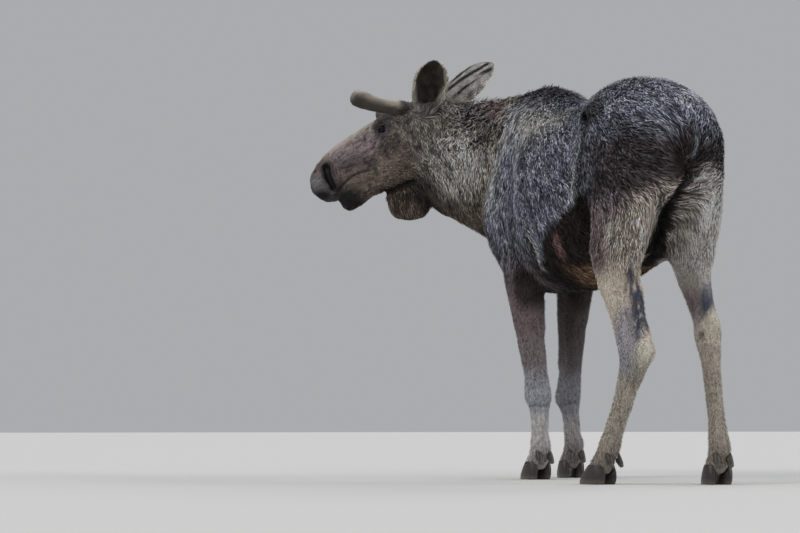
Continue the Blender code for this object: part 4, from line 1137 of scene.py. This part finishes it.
def shader(name, roughness, specular=0.3):
    material = bpy.data.materials.new(name)
    material.use_nodes = True
    bsdf = material.node_tree.nodes["Principled BSDF"]
    bsdf.inputs["Roughness"].default_value = roughness
    bsdf.inputs["Specular IOR Level"].default_value = specular
    return material, material.node_tree, bsdf


def add_node(tree, kind, **values):
    """A node, with settings given by name and inputs given by their label."""
    node = tree.nodes.new(kind)
    for key, value in values.items():
        if key in node.inputs:
            node.inputs[key].default_value = value
        else:
            setattr(node, key, value)
    return node


def tinted_material(name, roughness, specular, scale, uneven, bump=None, stretch=(1, 1, 1)):
    """Coloured by the tint of each point, made uneven by fine noise, which may be its bump as well."""
    material, tree, bsdf = shader(name, roughness, specular)
    tinted = add_node(tree, "ShaderNodeAttribute", attribute_name="tint")
    place = add_node(tree, "ShaderNodeTexCoord")
    mapping = add_node(tree, "ShaderNodeMapping", Scale=stretch)
    grain = add_node(tree, "ShaderNodeTexNoise", Scale=scale, Detail=4.0, Roughness=0.6)
    level = add_node(tree, "ShaderNodeMapRange")
    ends = {"From Min": 0.3, "From Max": 0.7, "To Min": 1 - uneven, "To Max": 1 + uneven}
    for key, value in ends.items():
        level.inputs[key].default_value = value
    mixed = add_node(tree, "ShaderNodeVectorMath", operation="SCALE")
    tree.links.new(place.outputs["Object"], mapping.inputs["Vector"])
    tree.links.new(mapping.outputs["Vector"], grain.inputs["Vector"])
    tree.links.new(grain.outputs["Fac"], level.inputs["Value"])
    tree.links.new(tinted.outputs["Color"], mixed.inputs[0])
    tree.links.new(level.outputs["Result"], mixed.inputs["Scale"])
    tree.links.new(mixed.outputs["Vector"], bsdf.inputs["Base Color"])
    if bump:
        relief = add_node(tree, "ShaderNodeBump", Strength=bump[0], Distance=bump[1])
        tree.links.new(grain.outputs["Fac"], relief.inputs["Height"])
        tree.links.new(relief.outputs["Normal"], bsdf.inputs["Normal"])
    return material


def fur_material(name):
    """Skin under hair, with fine fur as bump."""
    return tinted_material(name, 0.62, 0.25, 420, 0.3, (0.7, 0.0015))


def wet_material(name):
    """The eye, under a clear wet film."""
    material = tinted_material(name, 0.2, 0.08, 900, 0.25)
    bsdf = material.node_tree.nodes["Principled BSDF"]
    bsdf.inputs["Coat Weight"].default_value = 0.2
    bsdf.inputs["Coat Roughness"].default_value = 0.03
    return material


COAT = tinted_material("hair", 0.5, 0.25, 160, 0.3, (0.25, 0.0008))
WET = wet_material("wet_eye")
HORN = tinted_material("hoof_horn", 0.42, 0.4, 60, 0.35, (0.5, 0.001), (1, 1, 9))  # fine growth lines


# ---------------------------------------------------------------- ears, antlers, eyes and hooves


EAR_TUFT, VELVET_TUFT = 0.0026, 0.0024  # widths
VELVET_TUFTS = 36000.0  # in a square metre


def smooth_copy(name, node, material, slot, rounding="CATMULL_CLARK"):
    """A finer, rounder mesh made from a CAD node, which it stands for."""
    copy = in_scene("copy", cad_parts[node].data.copy())
    weld = copy.modifiers.new("weld", "WELD")
    weld.merge_threshold = 0.00005
    finer = copy.modifiers.new("finer", "SUBSURF")
    finer.levels = finer.render_levels = 2
    finer.subdivision_type = rounding
    mesh = bpy.data.meshes.new_from_object(copy.evaluated_get(bpy.context.evaluated_depsgraph_get()))
    bpy.data.objects.remove(copy)
    mesh.materials.clear()
    mesh.name = name
    return Surface(new_object(name, mesh, material, slot, node))


def build_ear(label):
    """An ear with short fur outside, dark inside with painted shade deep in its cup, and long pale hair from
    its rims.
    """
    _, (ahead, rise), reach, opening = EARS[label]
    root = ear_root(label)
    base = root + LEVEL * ahead + UPWARD * rise
    tip = root + reach
    axis = unit(tip - base)
    opening = unit(np.array(opening, float))
    opening = unit(opening - axis * (opening @ axis))
    across = np.cross(axis, opening)
    fur = fur_material(f"ear_{label}_fur")
    ear = smooth_copy(f"ear_{label}_skin", f"ear_{label}", fur, "coat", "SIMPLE")
    ear.relax(5)
    away = ear.points - base
    long = np.linalg.norm(tip - base)
    way = (away @ axis) / long
    wider = 0.1 + 0.45 * ramp(way, 0.45, 0.15)
    ear.points += np.outer(wider * (away @ across), across)
    if label == "left":
        shorter = np.outer(0.01 * ramp(way, 0.6, 1.0), axis)
        ear.points -= shorter + np.outer(0.008 * ramp(way, 0.3, 1.0), LEVEL)
    ear.write()
    normals = ear.normals()
    way = ((ear.points - base) @ axis) / long
    middle = base + np.outer(way * long, axis) + opening * 0.045
    within = ramp(np.sum(normals * unit(middle - ear.points), axis=1), -0.3, 0.1) * ramp(way, 0.02, 0.15)
    swing = (ear.points - base) @ across
    reach = np.interp(way, [0, 0.25, 0.55, 0.85, 1], [0.03, 0.05, 0.078, 0.055, 0.012])
    edge = np.maximum(ramp(np.abs(swing) / reach, 0.88, 1.02), ramp(way, 0.95, 0.99)) * ramp(way, 0.1, 0.3)
    lengthwise = np.stack([swing / 0.016, way * 2.0, swing * 0], axis=1)
    streak = noise(lengthwise + 0.5, 1.0, 31) + 0.5 * noise(lengthwise * 2.1, 1.0, 32)
    outer = paint(0 * ear.points + 0.5 * (HAIR_PALE + SILVER), 0.5 * ramp(way, 0.3, 0.0), OLIVE * 0.6)
    outer = paint(outer, ramp(streak, -0.25, 0.05) * ramp(way, 0.03, 0.2) * ramp(way, 1.0, 0.93), BLACK)
    # dark hair inside, painted black as shade deep in the cup
    hollow = paint(0 * ear.points + EAR_INSIDE, ramp(way, 0.62, 0.4), BLACK)
    hollow = paint(hollow, 0.35 + 0.65 * noise(ear.points, 0.022, 33), BROWN * 0.7)
    hollow = paint(hollow, 0.7 * ramp(way, 0.16, 0.08), HAIR_PALE * 0.6)
    shade = paint(outer, within, hollow)
    shade = paint(shade, 0.65 * edge, HAIR_PALE)
    tint(ear.thing.data, 0.6 * shade)
    flow = flattened(0 * ear.points + axis + 0.35 * edge[:, None] * opening, normals)
    length = 0.012 + 0.008 * edge + 0.014 * within * ramp(way, 0.75, 0.2)
    length = length * (1 - 0.6 * ramp(way, 0.86, 0.98))
    density = (0.7 + 0.6 * edge) / (length * EAR_TUFT * FILL) * (1 - 0.45 * within)
    corners, mix = sample(ear, density)
    at = at_roots(ear.points, corners, mix)
    count = len(at)
    normal = unit(at_roots(normals, corners, mix))
    lie = unit(at_roots(flow, corners, mix))
    dark, light = grizzled(at_roots(shade, corners, mix), np.full(count, 0.5), at, 0.35)
    length = (at_roots(length, corners, mix), 1.25)
    lift = (0.002 + 0.003 * at_roots(edge, corners, mix), 0.3)
    name, place, spots = f"coat_ear_{label}", (at, normal, lie), unwrapped(at, base, tip)
    short_tufts(name, place, (dark, light), spots, 0.14, length, EAR_TUFT, lift, 0.08, "coat")


def build_antler(label, side):
    """A growing antler: blunt, bossed and covered in short velvet."""
    velvet = fur_material(f"velvet_{label}")
    antler = smooth_copy(f"antler_{label}_velvet", f"antler_{label}", velvet, "velvet")
    normals = antler.normals()
    antler.points += normals * (0.001 + 0.0012 * noise(antler.points, 0.016, 2))[:, None]
    antler.write()
    base = POLL + TO_NOSE * 0.15 + HEAD_UP * 0.027 + HEAD_LEFT * 0.07 * side
    far_end = antler.points[np.argmax(distance_to(antler.points, base))]
    axis = unit(far_end - base)
    way = (antler.points - base) @ axis / np.linalg.norm(far_end - base)
    patchy = 0.18 * noise(antler.points, 0.025, 34)
    # painted shade and highlight: the velvet darker where it faces down and paler where it faces up, as lit
    # from above
    shade = paint(0 * antler.points + VELVET, 0.85 * ramp(normals[:, 2] + patchy, 0.45, -0.35), VELVET_PAINTED_SHADE)
    shade = paint(shade, 0.8 * ramp(normals[:, 2] + patchy, 0.45, 0.95), HAIR_PALE)
    # painted shade: darker sides near the tip
    near_tip = ramp(way, 0.7, 0.85) * ramp(way, 1.02, 0.93)
    shade = paint(shade, 0.6 * near_tip * ramp(normals[:, 2], 0.7, 0.2), VELVET_PAINTED_SHADE)
    # painted highlight: paler on the upward faces of the lower antler
    shade = paint(shade, 0.35 * ramp(way, 0.45, 0.25) * ramp(normals[:, 2], -0.2, 0.4), HAIR_PALE)
    shade = paint(shade, 0.8 * ramp(way, 0.14, 0.02), ROOT)
    tint(antler.thing.data, 0.75 * shade)
    flow = 0 * antler.points + axis
    flow = unit(flow - normals * np.sum(flow * normals, axis=1, keepdims=True) + 1e-6)
    corners, mix = sample(antler, np.full(len(antler.points), VELVET_TUFTS))
    at = at_roots(antler.points, corners, mix)
    count = len(at)
    normal = unit(at_roots(normals, corners, mix))
    lie = unit(at_roots(flow, corners, mix) + 0.01 * normal)
    lie = flattened(lie, normal)
    dark, light = grizzled(at_roots(shade, corners, mix), np.full(count, 0.8), at, 0.25)
    collar = ramp(at_roots(way, corners, mix), 0.2, 0.0)
    length, lift = (0.006 + 0.014 * collar, 1.3), (0.003 + 0.003 * collar, 0.4)
    name, place, spots = f"coat_antler_{label}", (at, normal, lie), unwrapped(at, base, far_end)
    short_tufts(name, place, (dark, light), spots, 0.35, length, VELVET_TUFT, lift, 0.1, "velvet")


def build_eye(label, side):
    """A ball with a bulging cornea, a dark brown iris and a wide pupil."""
    centre = EYES[side]
    outward = unit(HEAD_LEFT * side + 0.22 * TO_NOSE)
    ahead = unit(TO_NOSE - outward * (TO_NOSE @ outward))
    up = np.cross(outward, ahead)
    rows, around = 40, 64
    polar = np.repeat(np.pi * np.arange(1, rows) / rows, around)
    turn = np.tile(2 * np.pi * np.arange(around) / around, rows - 1)
    polar, turn = np.append(polar, (0, np.pi)), np.append(turn, (0, 0))  # and the two ends
    first, last = len(polar) - 2, len(polar) - 1
    s, t = np.sin(polar) * np.cos(turn), np.sin(polar) * np.sin(turn)
    radius = 0.93 * EYE_RADIUS * (1 + 0.07 * np.exp(-((polar / 0.52) ** 4)))
    points = centre + radius[:, None] * (np.stack([s, t, np.cos(polar)], axis=1) @ (ahead, up, outward))
    iris = (np.sin(polar) < 0.6) | (polar > 2)
    shades = np.where(iris[:, None], colour(26, 18, 14), colour(16, 12, 11))
    shades[(np.hypot(s / 0.34, t / 0.17) < 1) & (polar < 1.5)] = colour(6, 6, 8)
    triangles = []
    for k in range(around):
        following = (k + 1) % around
        triangles.append((first, k, following))
        for row in range(rows - 2):
            a, b = row * around + k, row * around + following
            triangles += [(a, a + around, b), (b, a + around, b + around)]
        triangles.append((last, last - 1 - around + following, last - 1 - around + k))
    mesh = mesh_of(f"eyeball_{label}", points, triangles, shades)
    work = bmesh.new()
    work.from_mesh(mesh)
    bmesh.ops.recalc_face_normals(work, faces=work.faces)
    work.to_mesh(mesh)
    work.free()
    new_object(f"eyeball_{label}", mesh, WET, "eye", f"eye_{label}")


def build_hoof(node):
    """A hoof or dewclaw with growth rings round its wall, worn paler at the ground."""
    hoof = smooth_copy(f"{node}_horn", node, HORN, "horn")
    low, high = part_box(node)
    height = (hoof.points[:, 2] - low[2]) / max(high[2] - low[2], 1e-6)
    wall = ramp(height, 0.04, 0.15) * ramp(height, 1.0, 0.8)
    rings = np.sin(2 * np.pi * height * 7 + 1.5 * noise(hoof.points, 0.02, 6))
    hoof.points += hoof.normals() * (0.0006 * rings * wall)[:, None]
    hoof.points[:, 2] = np.maximum(hoof.points[:, 2], low[2])
    if node.startswith("hoof"):
        flat = hoof.points[:, 2] < low[2] + 0.004
        hoof.points[flat, 2] = low[2]
    hoof.write()
    shade = paint(0 * hoof.points + colour(52, 46, 43), 0.6 * ramp(height, 0.35, 0.0), colour(112, 102, 92))
    tint(hoof.thing.data, paint(shade, 0.5 * ramp(height, 0.8, 1.0), BLACK))


# ---------------------------------------------------------------- floor, light and camera


FLOOR_REACH = 60.0
LIGHTS = [
    # name, where it shines from, how wide it looks in degrees, strength, colour
    ("overcast", (1.5, 0.8, 6.0), 80, 1.25, (0.97, 0.98, 1.0)),
    ("key", (6.5, 1.0, 5.0), 25, 0.95, (1.0, 0.98, 0.95)),
    ("rim", (-5.0, -3.0, 5.0), 30, 0.55, (1.0, 0.98, 0.95)),
    ("side", (-5.5, 3.6, 3.2), 30, 1.05, (0.98, 0.98, 1.0)),
]
CAMERA_PLACE = (4.096, 9.062, 0.248)
CAMERA_BEARING, CAMERA_PITCH = math.radians(158.573), math.radians(4.152)
FOCAL_LENGTH = 98.14  # mm, on a sensor 36 mm wide


def build_stage():
    """A pale floor under soft light, seen from low behind the animal's left side."""
    mesh = bpy.data.meshes.new("floor")
    corners = [(x * FLOOR_REACH, y * FLOOR_REACH, 0) for x, y in ((-1, -1), (1, -1), (1, 1), (-1, 1))]
    mesh.from_pydata(corners, [], [(0, 1, 2, 3)])
    floor = in_scene("floor", mesh)
    material, _, bsdf = shader("floor_paint", 0.9)
    bsdf.inputs["Base Color"].default_value = (0.5, 0.5, 0.49, 1)
    mesh.materials.append(material)

    world = bpy.data.worlds.new("studio")
    world.use_nodes = True
    world.node_tree.nodes["Background"].inputs["Color"].default_value = (0.95, 0.97, 1.0, 1)
    world.node_tree.nodes["Background"].inputs["Strength"].default_value = 0.42
    bpy.context.scene.world = world
    for name, place, wide, power, shade in LIGHTS:
        lamp = bpy.data.lights.new(name, "SUN")
        lamp.angle, lamp.energy, lamp.color = math.radians(wide), power, shade
        thing = in_scene(name, lamp)
        thing.location = place
        thing.rotation_euler = (-Vector(place)).to_track_quat("-Z", "Y").to_euler()


def build_camera():
    """Low, 9.9 m away, behind the left shoulder's side, with the animal right of the middle."""
    camera = in_scene("camera", bpy.data.cameras.new("camera"))
    camera.data.sensor_width, camera.data.lens = 36, FOCAL_LENGTH
    camera.location = CAMERA_PLACE
    level = Vector((-math.sin(CAMERA_BEARING), math.cos(CAMERA_BEARING), 0))
    aim = level * math.cos(CAMERA_PITCH) + Vector((0, 0, 1)) * math.sin(CAMERA_PITCH)
    camera.rotation_euler = aim.to_track_quat("-Z", "Y").to_euler()
    bpy.context.scene.camera = camera
    bpy.context.scene.view_settings.view_transform = "Standard"


def main():
    build_stage()
    build_camera()
    skin, shares, depth = build_skin()
    base = markings(skin.points, shares)
    short = ramp(coat_measures(skin.points, shares)[0], 0.034, 0.014)
    tint(skin.thing.data, base * (0.3 + 0.5 * short)[:, None])
    grow_coat(skin, shares, depth)
    for label, side in SIDES:
        build_ear(label)
        build_antler(label, side)
        build_eye(label, side)
    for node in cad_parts:
        if node.startswith(("hoof", "dewclaw")):
            build_hoof(node)


main()
